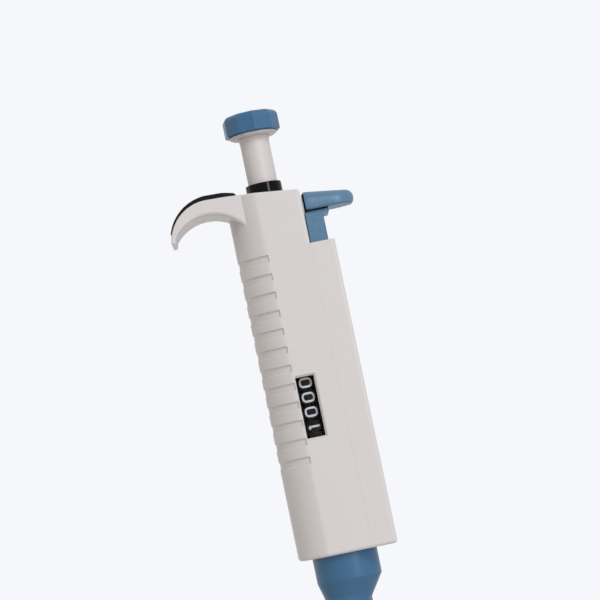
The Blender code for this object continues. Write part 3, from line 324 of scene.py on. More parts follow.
def block(low: Point3, high: Point3) -> bmesh.types.BMesh:
    """Make a box from its two corners."""
    corners = [(low[0], low[1]), (high[0], low[1]), (high[0], high[1]), (low[0], high[1])]
    return loft([[(x, y, z) for x, y in corners] for z in (low[2], high[2])])


def placed(name: str, data: bpy.types.ID) -> bpy.types.Object:
    """Make an object of some data and put it in the scene.

    Args:
        name: The object's name.
        data: Its mesh, lamp or camera.

    Returns:
        The object.
    """
    made = bpy.data.objects.new(name, data)
    bpy.context.scene.collection.objects.link(made)
    return made


def piece(name: str, mesh: bmesh.types.BMesh, crease: float = CREASE) -> bpy.types.Object:
    """Make a named object of a mesh, with its faces outwards.

    Args:
        name: The object's name.
        mesh: The mesh, which is used up.
        crease: Angle past which an edge stays sharp.

    Returns:
        The object.
    """
    bmesh.ops.remove_doubles(mesh, verts=mesh.verts, dist=MERGE_DISTANCE)
    bmesh.ops.recalc_face_normals(mesh, faces=mesh.faces)
    data = bpy.data.meshes.new(name)
    mesh.to_mesh(data)
    mesh.free()
    data.shade_smooth()
    data.set_sharp_from_angle(angle=crease)
    return placed(name, data)


def settle(made: bpy.types.Object) -> bpy.types.Object:
    """Turn an object with live modifiers into a plain mesh.

    Args:
        made: The object.

    Returns:
        The same object, with its final mesh.
    """
    graph = bpy.context.evaluated_depsgraph_get()
    plain = bpy.data.meshes.new_from_object(made.evaluated_get(graph), depsgraph=graph)
    made.modifiers.clear()
    made.data = plain
    plain.name = made.name
    return made


def combine(made: bpy.types.Object, tools: Iterable[bpy.types.Object], cut: Cut) -> bpy.types.Object:
    """Add solids to an object, or remove them from it, and delete the tools.

    Args:
        made: The object to change.
        tools: The solids to combine with it.
        cut: Whether they are added or removed.

    Returns:
        The changed object.
    """
    tools = list(tools)
    for tool in tools:
        modifier = made.modifiers.new(tool.name, "BOOLEAN")
        modifier.operation = cut.value
        modifier.solver = "EXACT"
        modifier.object = tool
    settle(made)
    for tool in tools:
        bpy.data.objects.remove(tool, do_unlink=True)
    return made


def even_shading(made: bpy.types.Object, crease: float = CREASE) -> bpy.types.Object:
    """Weight an object's normals by face size, so that flats stay flat beside their fillets.

    Args:
        made: The object.
        crease: Angle past which an edge stays sharp.

    Returns:
        The same object, with the weighted normals.
    """
    made.data.set_sharp_from_angle(angle=crease)
    modifier = made.modifiers.new("even_shading", "WEIGHTED_NORMAL")
    modifier.keep_sharp = True
    return settle(made)


# Node trees


class NodeTree:
    """A node tree that is wired in the script."""

    def __init__(self, tree: bpy.types.NodeTree) -> None:
        """Take the tree that is to be wired."""
        self.tree = tree

    def feed(self, node: bpy.types.Node, inputs: dict[str | int, object]) -> None:
        """Set the inputs of a node, or link them.

        Args:
            node: The node.
            inputs: A value or a socket for each named or numbered input.
        """
        for label, value in inputs.items():
            if isinstance(value, bpy.types.NodeSocket):
                self.tree.links.new(value, node.inputs[label])
            else:
                node.inputs[label].default_value = value

    def add(self, kind: str, inputs: dict[str | int, object], **settings: object) -> bpy.types.Node:
        """Add a node, set it and feed it.

        Args:
            kind: The node's type.
            inputs: A value or a socket for each named or numbered input.
            **settings: The node's own settings.

        Returns:
            The node.
        """
        node = self.tree.nodes.new(kind)
        for label, value in settings.items():
            setattr(node, label, value)
        self.feed(node, inputs)
        return node

    def calc(self, operation: str, *values: object) -> bpy.types.NodeSocket:
        """Add a Math node over some numbers or sockets, and give its result."""
        return self.add("ShaderNodeMath", dict(enumerate(values)), operation=operation).outputs[0]

    def blend(self, share: bpy.types.NodeSocket, first: object, second: object) -> bpy.types.NodeSocket:
        """Mix two colours by a share, and give the result."""
        node = self.add("ShaderNodeMix", {0: share, 6: first, 7: second}, data_type="RGBA")
        return node.outputs[2]

    def noise(self, place: bpy.types.NodeSocket, scale: object, **inputs: float) -> bpy.types.NodeSocket:
        """Add a Noise texture with its named inputs, and give its factor."""
        return self.add("ShaderNodeTexNoise", {"Vector": place, "Scale": scale} | inputs).outputs["Fac"]

    def ramp(
        self, value: bpy.types.NodeSocket, span: Point2, to: Point2 = (0.0, 1.0), **settings: object
    ) -> bpy.types.NodeSocket:
        """Map one span of values onto another.

        Args:
            value: What is mapped.
            span: The span that it comes from.
            to: The span that it goes to.
            **settings: The node's own settings.

        Returns:
            The mapped value.
        """
        ends = {"From Min": span[0], "From Max": span[1], "To Min": to[0], "To Max": to[1]}
        return self.add("ShaderNodeMapRange", {"Value": value} | ends, **settings).outputs[0]

    def open_sockets(self, sockets: dict[str, str], side: str) -> None:
        """Open named sockets on one side of the tree, each with its type."""
        for label, kind in sockets.items():
            self.tree.interface.new_socket(name=label, in_out=side, socket_type=f"NodeSocket{kind}")


class GeometryTree(NodeTree):
    """A geometry node tree that is run once on an object."""

    def __init__(self, name: str, inputs: dict[str, str]) -> None:
        """Open a tree.

        Args:
            name: Its name.
            inputs: The type of each named input.
        """
        super().__init__(bpy.data.node_groups.new(name, "GeometryNodeTree"))
        geometry = {"Geometry": "Geometry"}
        self.open_sockets(geometry | inputs, "INPUT")
        self.open_sockets(geometry, "OUTPUT")
        self.given = self.tree.nodes.new("NodeGroupInput").outputs

    def close(self, geometry: bpy.types.NodeSocket) -> None:
        """End the tree in Realize Instances and Set Material.

        Args:
            geometry: What the tree has made.
        """
        real = self.add("GeometryNodeRealizeInstances", {"Geometry": geometry})
        dressed = self.add(
            "GeometryNodeSetMaterial",
            {"Geometry": real.outputs["Geometry"], "Material": self.given["Material"]},
        )
        self.add("NodeGroupOutput", {"Geometry": dressed.outputs["Geometry"]})

    def run(self, made: bpy.types.Object, values: dict[str, object]) -> bpy.types.Object:
        """Run the tree on an object and keep its result as a plain mesh.

        Args:
            made: The object.
            values: A value for each named input.

        Returns:
            The same object, with its final mesh.
        """
        modifier = made.modifiers.new(self.tree.name, "NODES")
        modifier.node_group = self.tree
        for item in self.tree.interface.items_tree:
            if item.item_type == "SOCKET" and item.in_out == "INPUT" and item.name in values:
                modifier[item.identifier] = values[item.name]
        return settle(made)


def row_tree() -> GeometryTree:
    """Make the tree that repeats a solid down a straight row.

    Returns:
        The tree, ready to run.
    """
    tree = GeometryTree(
        "repeat_down_a_row",
        {"Count": "Int", "Pitch": "Float", "Material": "Material"},
    )
    step = tree.add("ShaderNodeCombineXYZ", {"Z": tree.given["Pitch"]})
    line = tree.add(
        "GeometryNodeMeshLine", {"Count": tree.given["Count"], "Offset": step.outputs[0]}, mode="OFFSET"
    )
    copies = tree.add(
        "GeometryNodeInstanceOnPoints",
        {"Points": line.outputs["Mesh"], "Instance": tree.given["Geometry"]},
    )
    tree.close(copies.outputs["Instances"])
    return tree


def number_tree() -> GeometryTree:
    """Make the tree that sets the digits of a collection round a drum, in falling order.

    Returns:
        The tree, ready to run.
    """
    tree = GeometryTree(
        "numbers_round_a_drum",
        {
            "Digits": "Collection",
            "Count": "Int",
            "First": "Int",
            "Stride": "Int",
            "Step Angle": "Float",
            "Material": "Material",
        },
    )
    given = tree.given
    line = tree.add(
        "GeometryNodeMeshLine", {"Count": given["Count"], "Offset": (0, 0, 0)}, mode="OFFSET"
    )
    index = tree.add("GeometryNodeInputIndex", {}).outputs["Index"]
    turn = tree.calc("MULTIPLY", index, given["Step Angle"])
    value = tree.calc("SUBTRACT", given["First"], tree.calc("MULTIPLY", index, given["Stride"]))
    spin = tree.add("ShaderNodeCombineXYZ", {"Z": turn})
    choice = tree.add(
        "GeometryNodeCollectionInfo", {"Collection": given["Digits"], "Separate Children": True}
    )
    copies = tree.add(
        "GeometryNodeInstanceOnPoints",
        {
            "Points": line.outputs["Mesh"],
            "Instance": choice.outputs["Instances"],
            "Pick Instance": True,
            "Instance Index": tree.calc("FLOORED_MODULO", value, 10.0),
            "Rotation": spin.outputs[0],
        },
    )
    tree.close(copies.outputs["Instances"])
    return tree


def coil_tree() -> GeometryTree:
    """Make the tree that winds a compression spring on the Z axis.

    Returns:
        The tree, ready to run.
    """
    tree = GeometryTree(
        "compression_spring",
        {
            "Turns": "Float",
            "Radius": "Float",
            "Height": "Float",
            "Wire": "Float",
            "Place": "Vector",
            "Material": "Material",
        },
    )
    given = tree.given
    helix = tree.add(
        "GeometryNodeCurveSpiral",
        {
            "Resolution": 28,
            "Rotations": given["Turns"],
            "Start Radius": given["Radius"],
            "End Radius": given["Radius"],
            "Height": given["Height"],
        },
    )
    section = tree.add("GeometryNodeCurvePrimitiveCircle", {"Resolution": 12, "Radius": given["Wire"]})
    wire = tree.add(
        "GeometryNodeCurveToMesh",
        {"Curve": helix.outputs["Curve"], "Profile Curve": section.outputs["Curve"], "Fill Caps": True},
    )
    smooth = tree.add("GeometryNodeSetShadeSmooth", {"Geometry": wire.outputs["Mesh"]})
    moved = tree.add(
        "GeometryNodeTransform",
        {"Geometry": smooth.outputs["Geometry"], "Translation": given["Place"]},
    )
    tree.close(moved.outputs["Geometry"])
    return tree


# Finishes


class ShaderGroup(NodeTree):
    """A shader node group with named inputs and outputs, built once."""

    def __init__(self, name: str, inputs: dict[str, str], outputs: dict[str, str]) -> None:
        """Open a group.

        Args:
            name: Its name.
            inputs: The type of each named input.
            outputs: The type of each named output.
        """
        super().__init__(bpy.data.node_groups.new(name, "ShaderNodeTree"))
        self.open_sockets(inputs, "INPUT")
        self.open_sockets(outputs, "OUTPUT")
        self.given = self.tree.nodes.new("NodeGroupInput").outputs
        self.out = self.tree.nodes.new("NodeGroupOutput")

    def close(self, outputs: dict[str, bpy.types.NodeSocket]) -> bpy.types.NodeTree:
        """Feed the group's outputs and hand the group over."""
        self.feed(self.out, outputs)
        return self.tree


def moulded_skin_group() -> bpy.types.NodeTree:
    """Make the fine satin skin of moulded plastic: a cloudy tone, a grain and uneven gloss.

    Returns:
        The shared effect.
    """
    group = ShaderGroup(
        "moulded_skin",
        {
            "Colour": "Color",
            "Cloud Colour": "Color",
            "Cloud Scale": "Float",
            "Grain Scale": "Float",
            "Roughness": "Float",
            "Gloss Spread": "Float",
        },
        {"Colour": "Color", "Roughness": "Float", "Height": "Float"},
    )
    place = group.add("ShaderNodeTexCoord", {}).outputs["Object"]
    given = group.given
    cloud = group.noise(place, given["Cloud Scale"], Detail=4.0, Roughness=0.55)
    grain = group.noise(place, given["Grain Scale"], Detail=2.0, Roughness=0.6)
    tone = group.blend(cloud, given["Colour"], given["Cloud Colour"])
    spread = group.calc("MULTIPLY", group.calc("SUBTRACT", grain, 0.5), given["Gloss Spread"])
    gloss = group.calc("ADD", spread, given["Roughness"])
    return group.close({"Colour": tone, "Roughness": gloss, "Height": grain})


def handling_marks_group() -> bpy.types.NodeTree:
    """Make the mask of the faint rubs and hairlines that hands leave on a bench tool.

    Returns:
        The shared effect.
    """
    group = ShaderGroup(
        "handling_marks",
        {"Amount": "Float", "Scale": "Float"},
        {"Mask": "Float"},
    )
    place = group.add("ShaderNodeTexCoord", {}).outputs["Object"]
    lean = group.add(
        "ShaderNodeMapping", {"Vector": place, "Rotation": (0.4, 0.5, 0.2), "Scale": (1.0, 9.0, 1.0)}
    )
    hair = group.noise(lean.outputs[0], group.given["Scale"], Detail=3.0, Distortion=0.6)
    patch = group.noise(place, 70.0, Detail=2.0)
    both = group.calc("MULTIPLY", group.ramp(hair, (0.62, 0.74)), group.ramp(patch, (0.45, 0.65)))
    return group.close({"Mask": group.calc("MULTIPLY", both, group.given["Amount"])})


def turning_marks_group() -> bpy.types.NodeTree:
    """Make the fine rings that a lathe or a grinding wheel leaves round the Z axis.

    Returns:
        The shared effect.
    """
    group = ShaderGroup(
        "turning_marks",
        {"Pitch Scale": "Float"},
        {"Height": "Float", "Mask": "Float"},
    )
    place = group.add("ShaderNodeTexCoord", {}).outputs["Object"]
    squeeze = group.add("ShaderNodeMapping", {"Vector": place, "Scale": (0.02, 0.02, 1.0)})
    rings = group.noise(squeeze.outputs[0], group.given["Pitch Scale"], Detail=3.0)
    return group.close({"Height": rings, "Mask": group.noise(place, 240.0, Detail=2.0)})


@dataclass(frozen=True)
class Groups:
    """The three shared effects, each built once."""

    skin: bpy.types.NodeTree
    marks: bpy.types.NodeTree
    rings: bpy.types.NodeTree

    @classmethod
    def build(cls) -> "Groups":
        """Build the shared effects."""
        return cls(moulded_skin_group(), handling_marks_group(), turning_marks_group())


class Shading(NodeTree):
    """One material's node tree, with its Principled shader at hand."""

    def __init__(self, name: str) -> None:
        """Open a new material.

        Args:
            name: Its name.
        """
        self.material = bpy.data.materials.new(name)
        self.material.use_nodes = True
        super().__init__(self.material.node_tree)
        self.shader = self.tree.nodes["Principled BSDF"]

    def group(self, tree: bpy.types.NodeTree, inputs: dict[str | int, object]) -> bpy.types.Node:
        """Place a shared effect with its own values."""
        return self.add("ShaderNodeGroup", inputs, node_tree=tree)

    def finish(self, inputs: dict[str | int, object]) -> bpy.types.Material:
        """Feed the Principled shader and hand the material over."""
        self.feed(self.shader, inputs)
        return self.material

    def bump(self, height: bpy.types.NodeSocket, depth: float) -> bpy.types.NodeSocket:
        """Give the normal of a surface that is raised by a height of so many metres."""
        raised = self.add("ShaderNodeBump", {"Height": height, "Distance": depth, "Strength": 1.0})
        return raised.outputs["Normal"]


@dataclass(frozen=True)
class MouldedPlastic:
    """Moulded plastic with a satin skin, a cloudy tone and faint handling marks."""

    name: str
    colour: Colour
    cloud: Colour
    roughness: float
    gloss_spread: float = 0.10
    cloud_scale: float = 90.0
    grain_scale: float = 5200.0
    grain_depth: float = 0.000006
    marks: float = 0.08
    mark_scale: float = 420.0
    mark_gloss: float = 0.25
    mark_colour: Colour = (150, 144, 140)
    specular: float = 0.5

    def build(self, groups: Groups) -> bpy.types.Material:
        """Build the material.

        Args:
            groups: The shared effects.

        Returns:
            The finished material.
        """
        shading = Shading(self.name)
        skin = shading.group(
            groups.skin,
            {
                "Colour": linear(self.colour),
                "Cloud Colour": linear(self.cloud),
                "Cloud Scale": self.cloud_scale,
                "Grain Scale": self.grain_scale,
                "Roughness": self.roughness,
                "Gloss Spread": self.gloss_spread,
            },
        )
        marks = shading.group(groups.marks, {"Amount": self.marks, "Scale": self.mark_scale})
        mask = marks.outputs["Mask"]
        return shading.finish(
            {
                "Base Color": shading.blend(mask, skin.outputs["Colour"], linear(self.mark_colour)),
                "Roughness": shading.calc("MULTIPLY_ADD", mask, self.mark_gloss, skin.outputs["Roughness"]),
                "Specular IOR Level": self.specular,
                "Normal": shading.bump(skin.outputs["Height"], self.grain_depth),
            }
        )


@dataclass(frozen=True)
class TurnedMetal:
    """Turned or ground metal with fine rings round the axis."""

    name: str
    colour: Colour
    stain: Colour
    roughness: float
    pitch_scale: float = 9000.0
    depth: float = 0.000004
    gloss_range: Point2 = (0.75, 1.3)

    def build(self, groups: Groups) -> bpy.types.Material:
        """Build the material from the shared effects.

        Args:
            groups: The shared effects.

        Returns:
            The finished material.
        """
        shading = Shading(self.name)
        rings = shading.group(groups.rings, {"Pitch Scale": self.pitch_scale})
        height = rings.outputs["Height"]
        least, most = self.gloss_range
        gloss = (self.roughness * least, self.roughness * most)
        return shading.finish(
            {
                "Base Color": shading.blend(rings.outputs["Mask"], linear(self.colour), linear(self.stain)),
                "Roughness": shading.ramp(height, (0.3, 0.7), gloss),
                "Metallic": 1.0,
                "Normal": shading.bump(height, self.depth),
            }
        )


@dataclass(frozen=True)
class ClearPlate:
    """A thin clear cover: mostly see-through, with a glossy face and faint haze."""

    name: str
    colour: Colour
    opacity: float
    roughness: float
    haze: float = 0.3
    haze_scale: float = 900.0
    haze_gloss: float = 0.2

    def build(self, groups: Groups) -> bpy.types.Material:
        """Build the material, with the handling marks as a faint haze.

        Args:
            groups: The shared effects.

        Returns:
            The finished material.
        """
        shading = Shading(self.name)
        marks = shading.group(groups.marks, {"Amount": self.haze, "Scale": self.haze_scale})
        gloss = shading.calc("MULTIPLY_ADD", marks.outputs["Mask"], self.haze_gloss, self.roughness)
        return shading.finish(
            {"Base Color": linear(self.colour), "Roughness": gloss, "Alpha": self.opacity}
        )


class Finish(Enum):
    """Every finish of the pipette."""

    SHELL = MouldedPlastic("pale_satin_shell", (207, 205, 206), (204, 202, 203), 0.42, specular=0.4)
    STEM = MouldedPlastic("pale_smooth_stem", (203, 200, 201), (199, 196, 197), 0.42, specular=0.4)
    BLUE = MouldedPlastic(
        "muted_blue_plastic",
        (56, 101, 138),
        (50, 95, 132),
        0.36,
        mark_colour=(100, 135, 165),
        marks=0.2,
        specular=0.35,
    )
    GRAINED_BLUE = MouldedPlastic(
        "grained_blue_plastic",
        (82, 121, 152),
        (74, 112, 144),
        0.40,
        mark_colour=(130, 158, 182),
        marks=0.3,
        cloud_scale=700.0,
        grain_scale=1500.0,
        grain_depth=0.00012,
        specular=0.45,
    )
    BLACK = MouldedPlastic(
        "black_plastic",
        (7, 7, 7),
        (4, 4, 5),
        0.13,
        gloss_spread=0.03,
        mark_colour=(45, 45, 45),
        grain_depth=0.000002,
        specular=0.11,
    )
    RUBBER = MouldedPlastic(
        "black_soft_strip",
        (14, 14, 14),
        (10, 10, 10),
        0.24,
        marks=0.25,
        mark_colour=(110, 110, 112),
        grain_scale=1500.0,
        grain_depth=0.00004,
        specular=0.16,
    )
    DRUM = MouldedPlastic(
        "black_wheel", (12, 12, 13), (9, 9, 10), 0.45, mark_colour=(40, 40, 40), specular=0.15
    )
    NUMBERS = MouldedPlastic("pale_number_ink", (214, 220, 232), (204, 211, 225), 0.5, marks=0.1)
    FRAME = MouldedPlastic("grey_frame_plastic", (150, 152, 154), (140, 142, 145), 0.45)
    IVORY = MouldedPlastic("ivory_cone_plastic", (232, 228, 214), (226, 221, 206), 0.32, marks=0.15)
    SEAL = MouldedPlastic("black_seal_rubber", (22, 22, 22), (15, 15, 15), 0.6)
    STEEL = TurnedMetal("ground_steel", (205, 205, 203), (186, 186, 184), 0.24)
    BRASS = TurnedMetal("turned_brass", (214, 180, 112), (190, 152, 90), 0.28)
    LENS = ClearPlate("clear_window", (30, 32, 36), 0.04, 0.05)


class Wardrobe:
    """The finished materials, and what puts them on pieces."""

    def __init__(self) -> None:
        """Build every material once."""
        groups = Groups.build()
        self.materials = {finish: finish.value.build(groups) for finish in Finish}

    def dress(self, made: bpy.types.Object, finish: Finish) -> None:
        """Give an object one finish all over.

        Args:
            made: The object.
            finish: Its finish.
        """
        made.data.materials.clear()
        made.data.materials.append(self.materials[finish])
        for face in made.data.polygons:
            face.material_index = 0

    def repaint(self, node: bpy.types.Object, finish: Finish) -> None:
        """Give a frame node a finish through its material slots."""
        for material_slot in node.material_slots:
            material_slot.material = self.materials[finish]


@dataclass
class Bench:
    """What every sub-assembly works with: the frame, the materials and the geometry trees."""

    nodes: dict[str, bpy.types.Object]
    wardrobe: Wardrobe
    rows: GeometryTree
    numbers: GeometryTree
    coils: GeometryTree

    def seat(
        self, made: bpy.types.Object, finish: Finish, body: str, slot: str, stands_for: Sequence[str] = ()
    ) -> None:
        """Dress a piece, let it ride on a body, and say which nodes it stands for.

        Args:
            made: The piece, in its place.
            finish: Its finish.
            body: The body that it moves with.
            slot: The record's material slot; not used.
            stands_for: Nodes that it takes the place of.
        """
        self.wardrobe.dress(made, finish)
        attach(made, body)
        if stands_for:
            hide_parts(*stands_for)
        LOG.info("%s: %d faces, rides on %s", made.name, len(made.data.polygons), body)

    def keep(self, names: Sequence[str], finish: Finish) -> None:
        """Give frame nodes that stay a finish of their own.

        Args:
            names: The nodes.
            finish: Their finish.
        """
        for name in names:
            self.wardrobe.repaint(self.nodes[name], finish)
            LOG.info("%s: kept, %s", name, finish.name)


# Handle


@dataclass
class Handle:
    """The main moulding with its hook and grooves, the ejector cover, the strip, the lens and the ring."""

    body_left: float = 12.4 * MM
    half_depth: float = 11.0 * MM
    oval_width: float = 13.4 * MM
    oval_depth: float = 11.65 * MM
    crease_ease: float = 0.7 * MM
    right: float = 9.95 * MM
    bottom: float = 98.0 * MM
    top: float = 209.1 * MM
    step_top: float = 190.7 * MM
    step_blend: float = 0.1 * MM
    top_slope: float = 6.4 * DEGREE
    slope_start: float = -5.6 * MM
    top_fillet: float = 0.55 * MM
    bottom_fillet: float = 1.0 * MM
    corner: float = 1.0 * MM
    seam_corner: float = 0.03 * MM
    oval_steps: int = 64
    wall: float = 1.5 * MM
    right_wall: float = 1.4 * MM
    cavity_top: float = 203.9 * MM
    cavity_bottom: float = 100.0 * MM
    cavity_corner: float = 0.5 * MM
    side_opening_top: float = 120.6 * MM
    side_opening_slack: float = 0.3 * MM
    mouth_play: float = 0.3 * MM
    overrun: float = 1.0 * MM

    hook_half_depth: float = 9.0 * MM
    hook_outer: Point3 = (-18.35 * MM, 197.35 * MM, 12.5 * MM)
    hook_inner: Point3 = (-19.0 * MM, 192.1 * MM, 13.0 * MM)
    hook_tip_angle: float = 168 * DEGREE
    hook_end_angle: float = 30 * DEGREE
    hook_tip_thickness: float = 1.2 * MM
    hook_tip_drop: float = 1.25 * MM
    hook_tip_width: float = 1.0 * MM
    hook_edge: float = 0.35 * MM
    hook_under_edge: float = 1.3 * MM
    hook_tip_corner: float = 0.3 * MM
    hook_tip_lean: float = 0.2
    hook_under_start: float = 0.08
    hook_root_x: float = -4.0 * MM
    hook_root_depth: float = 10.0 * MM
    hook_root_sink: float = 0.3 * MM
    hook_shoulder: Point2 = (1.5 * MM, 0.2 * MM)
    hook_join_x: float = -12.9 * MM
    hook_join_sink: float = 0.15 * MM
    hook_steps: int = 40

    strip_thick: float = 1.4 * MM
    strip_thin: float = 0.38 * MM
    strip_gap: float = 0.06 * MM
    strip_tip_angle: float = 160 * DEGREE
    strip_half_depth: float = 8.4 * MM
    strip_edge: float = 0.3 * MM
    strip_nose: tuple[Point2, ...] = (
        (-12.9 * MM, -0.09 * MM),
        (-8.9 * MM, -0.36 * MM),
        (-8.88 * MM, -0.2 * MM),
        (-9.15 * MM, 0.2 * MM),
        (-9.6 * MM, 0.52 * MM),
        (-10.8 * MM, 0.8 * MM),
        (-12.0 * MM, 1.05 * MM),
        (-13.2 * MM, 1.25 * MM),
    )

    groove_count: int = 12
    groove_pitch: float = 5.58 * MM
    groove_height: float = 2.15 * MM
    groove_top: float = 189.7 * MM
    groove_end: float = -3.25 * MM
    groove_end_lean: float = 1.1 * MM
    groove_side_depth: float = 0.6 * MM
    groove_nose_depth: float = 0.25 * MM
    groove_lip: float = 0.35 * MM
    groove_brow: float = 0.28 * MM
    groove_clearance: float = 0.05 * MM
    groove_floor_rise: float = 0.02 * MM
    groove_steps: int = 72

    window_centre: float = 142.65 * MM
    window_shift: float = 0.15 * MM
    window_width: float = 5.5 * MM
    window_height: float = 18.4 * MM
    window_bevel: float = 0.6 * MM
    window_left_share: float = 0.25
    window_corner: float = 0.25 * MM
    window_corner_share: float = 0.4
    lens_thickness: float = 0.7 * MM
    lens_inset: float = 0.75 * MM
    lens_gap: float = 0.08 * MM
    lens_corner: float = 0.2 * MM
    lens_edge: float = 0.06 * MM

    cover_left: float = 9.955 * MM
    cover_right: float = 17.45 * MM
    cover_corner: float = 1.1 * MM
    cover_edge: float = 0.5 * MM
    channel_half_width: float = 7.0 * MM
    channel_right: float = 16.3 * MM
    channel_top: float = 188.7 * MM
    ledge_top: float = 149.7 * MM
    ledge_bottom: float = 147.7 * MM
    post_slot_right: float = 16.1 * MM
    post_slot_half: float = 4.75 * MM
    post_slot_low: float = 187.7 * MM
    post_slot_high: float = 191.7 * MM
    bar_way_right: float = 13.3 * MM
    bar_way_half: float = 3.8 * MM
    bar_way_low: float = 146.7 * MM
    bar_way_high: float = 150.7 * MM

    stem_bore: float = 4.7 * MM
    ring_radius: float = 5.5 * MM
    ring_seat_play: float = 0.12 * MM
    ring_seat_drop: float = 0.1 * MM
    ring_bore: float = 4.65 * MM
    ring_mouth: float = 5.02 * MM
    ring_flare: float = 1.6 * MM
    ring_edge: float = 0.25 * MM
    ring_fine_edge: float = 0.1 * MM
    ring_flare_edge: float = 0.3 * MM
    ring_bottom: float = 206.1 * MM
    ring_top: float = 212.2 * MM

    def top_height(self, x: float) -> float:
        """Give the height of the sloping top at a place from hook to ejector."""
        return self.top - max(0.0, x - self.slope_start) * math.tan(self.top_slope)

    def section(self, inset: float, corner: float, right: float) -> list[Point2]:
        """Outline the D section, from its nose along the front to the right and back.

        An oval that is wider than the handle is cut by the two flats, with a soft crease between them.

        Args:
            inset: How far inside the outer face the outline runs.
            corner: Radius of the two right-hand corners.
            right: Where the flat right face stands.

        Returns:
            Points in X and Y; each one on the front has its mirror image on the back.
        """
        middle = self.oval_width - self.body_left
        wide = self.oval_width - inset
        deep = self.oval_depth - inset
        face = self.half_depth - inset
        bend = -wide * math.sqrt(1 - (face / deep) ** 2) - self.crease_ease
        last = math.acos(bend / wide)
        turns = [math.pi + (last - math.pi) * step / self.oval_steps for step in range(self.oval_steps + 1)]
        front = [(middle + wide * math.cos(t), -deep * math.sin(t)) for t in turns]
        start_x, start_y = front[-1]
        slope = deep * math.cos(last) / (wide * math.sin(last))
        knee = start_x + (-face - start_y) / slope
        for share in (0.2, 0.4, 0.6, 0.8, 1.0):
            away = (1 - share) ** 2
            x = away * start_x + 2 * share * (1 - share) * knee + share**2 * (2 * knee - start_x)
            front.append((x, away * start_y - (1 - away) * face))
        front += [(right * share, -face) for share in (0.0, 0.25, 0.5, 0.75)]
        front += arc((right - corner, corner - face), corner, -90 * DEGREE, 0, 6)
        front += [(right, 0.0)]
        return front + [(x, -y) for x, y in front[-2:0:-1]]

    def trunk(self) -> bpy.types.Object:
        """Loft the outside of the moulding, with rounded lower and upper edges.

        Returns:
            The closed solid, each end in a fan of narrow faces.
        """
        rings = []
        for rise, inset in quarter_round(self.bottom_fillet, 4):
            outline = self.section(inset, self.seam_corner, self.right)
            rings.append([(x, y, self.bottom + rise) for x, y in outline])
        step = {-self.step_blend: self.seam_corner, self.step_blend: self.corner}
        for offset, corner in step.items():
            outline = self.section(0, corner, self.right)
            rings.append([(x, y, self.step_top + offset) for x, y in outline])
        for inset, drop in quarter_round(self.top_fillet, 5):
            outline = self.section(inset, self.corner, self.right - inset)
            rings.append([(x, y, self.top_height(x) - drop) for x, y in outline])
        mesh = loft(rings, caps=False)
        count = len(rings[0])
        last = count // 2 - 2
        mesh.verts.ensure_lookup_table()
        for start in (0, len(mesh.verts) - count):
            loop = [mesh.verts[start + index] for index in range(count)]
            for index in range(last + 1):
                right = [loop[index + 2]] if index == last else []
                corners = [loop[index], loop[index + 1], *right, loop[-index - 1], loop[-index]]
                mesh.faces.new(list(dict.fromkeys(corners)))
        return piece("handle_moulding", mesh)

    def hook_outline(self, away: float) -> list[Point2]:
        """Outline the hook in X and Z at a distance from its front or back face.

        Args:
            away: The distance; the outline shrinks towards the face, most along the underside.

        Returns:
            The outline's points, equally many at any distance.
        """

        def trim(radius: float) -> float:
            """Give how far an edge of that radius has fallen away."""
            short = max(0.0, radius - away)
            return radius - math.sqrt(radius**2 - short**2)

        outer_x, outer_z, outer_radius = self.hook_outer
        inner_x, inner_z, inner_radius = self.hook_inner
        steps = self.hook_steps
        edge = trim(self.hook_edge)
        under = trim(self.hook_under_edge)
        outer = arc((outer_x, outer_z), outer_radius - edge, 90 * DEGREE, self.hook_tip_angle, steps)
        tip_x, tip_z = outer[-1]
        start = math.acos((tip_x + self.hook_tip_thickness - inner_x) / inner_radius)
        inner = []
        for step in range(steps + 1):
            turn = start + (self.hook_end_angle - start) * step / steps
            reach = inner_radius + under * min(1.0, self.hook_under_start + 2 * step / steps)
            inner.append((inner_x + reach * math.cos(turn), inner_z + reach * math.sin(turn)))
        low = tip_z - self.hook_tip_drop + edge
        left = tip_x - self.hook_tip_lean * self.hook_tip_drop
        tip = [(left, low, self.hook_tip_corner), (left + self.hook_tip_width, low, self.hook_tip_corner)]
        nose = rounded([(*outer[-1], 0), *tip, (*inner[0], 0)])[1:-1]
        back, rise = self.hook_shoulder
        root = [
            (self.hook_root_x, self.top - self.hook_root_depth),
            (self.hook_root_x, self.top - self.hook_root_sink),
            (self.slope_start - back, self.top + rise - edge),
            (self.hook_join_x, outer_z + outer_radius - edge - self.hook_join_sink),
        ]
        return outer + nose + inner + root

    def hook(self) -> bpy.types.Object:
        """Loft the finger hook, thick at its root, thin at its tip and well rounded below.

        Returns:
            The hook, with a root that reaches into the trunk.
        """
        depths = [depth for depth, _ in quarter_round(self.hook_under_edge, 8)]
        face = self.hook_half_depth
        rings = [[(x, away - face, z) for x, z in self.hook_outline(away)] for away in depths]
        rings += [[(x, face - away, z) for x, z in self.hook_outline(away)] for away in reversed(depths)]
        return piece("hook", loft(rings))

    def groove_tool(self) -> bpy.types.Object:
        """Make one groove's cutter: deep at the side, shallow at the nose, with an eased lower lip.

        Returns:
            The cutter of the top groove.
        """

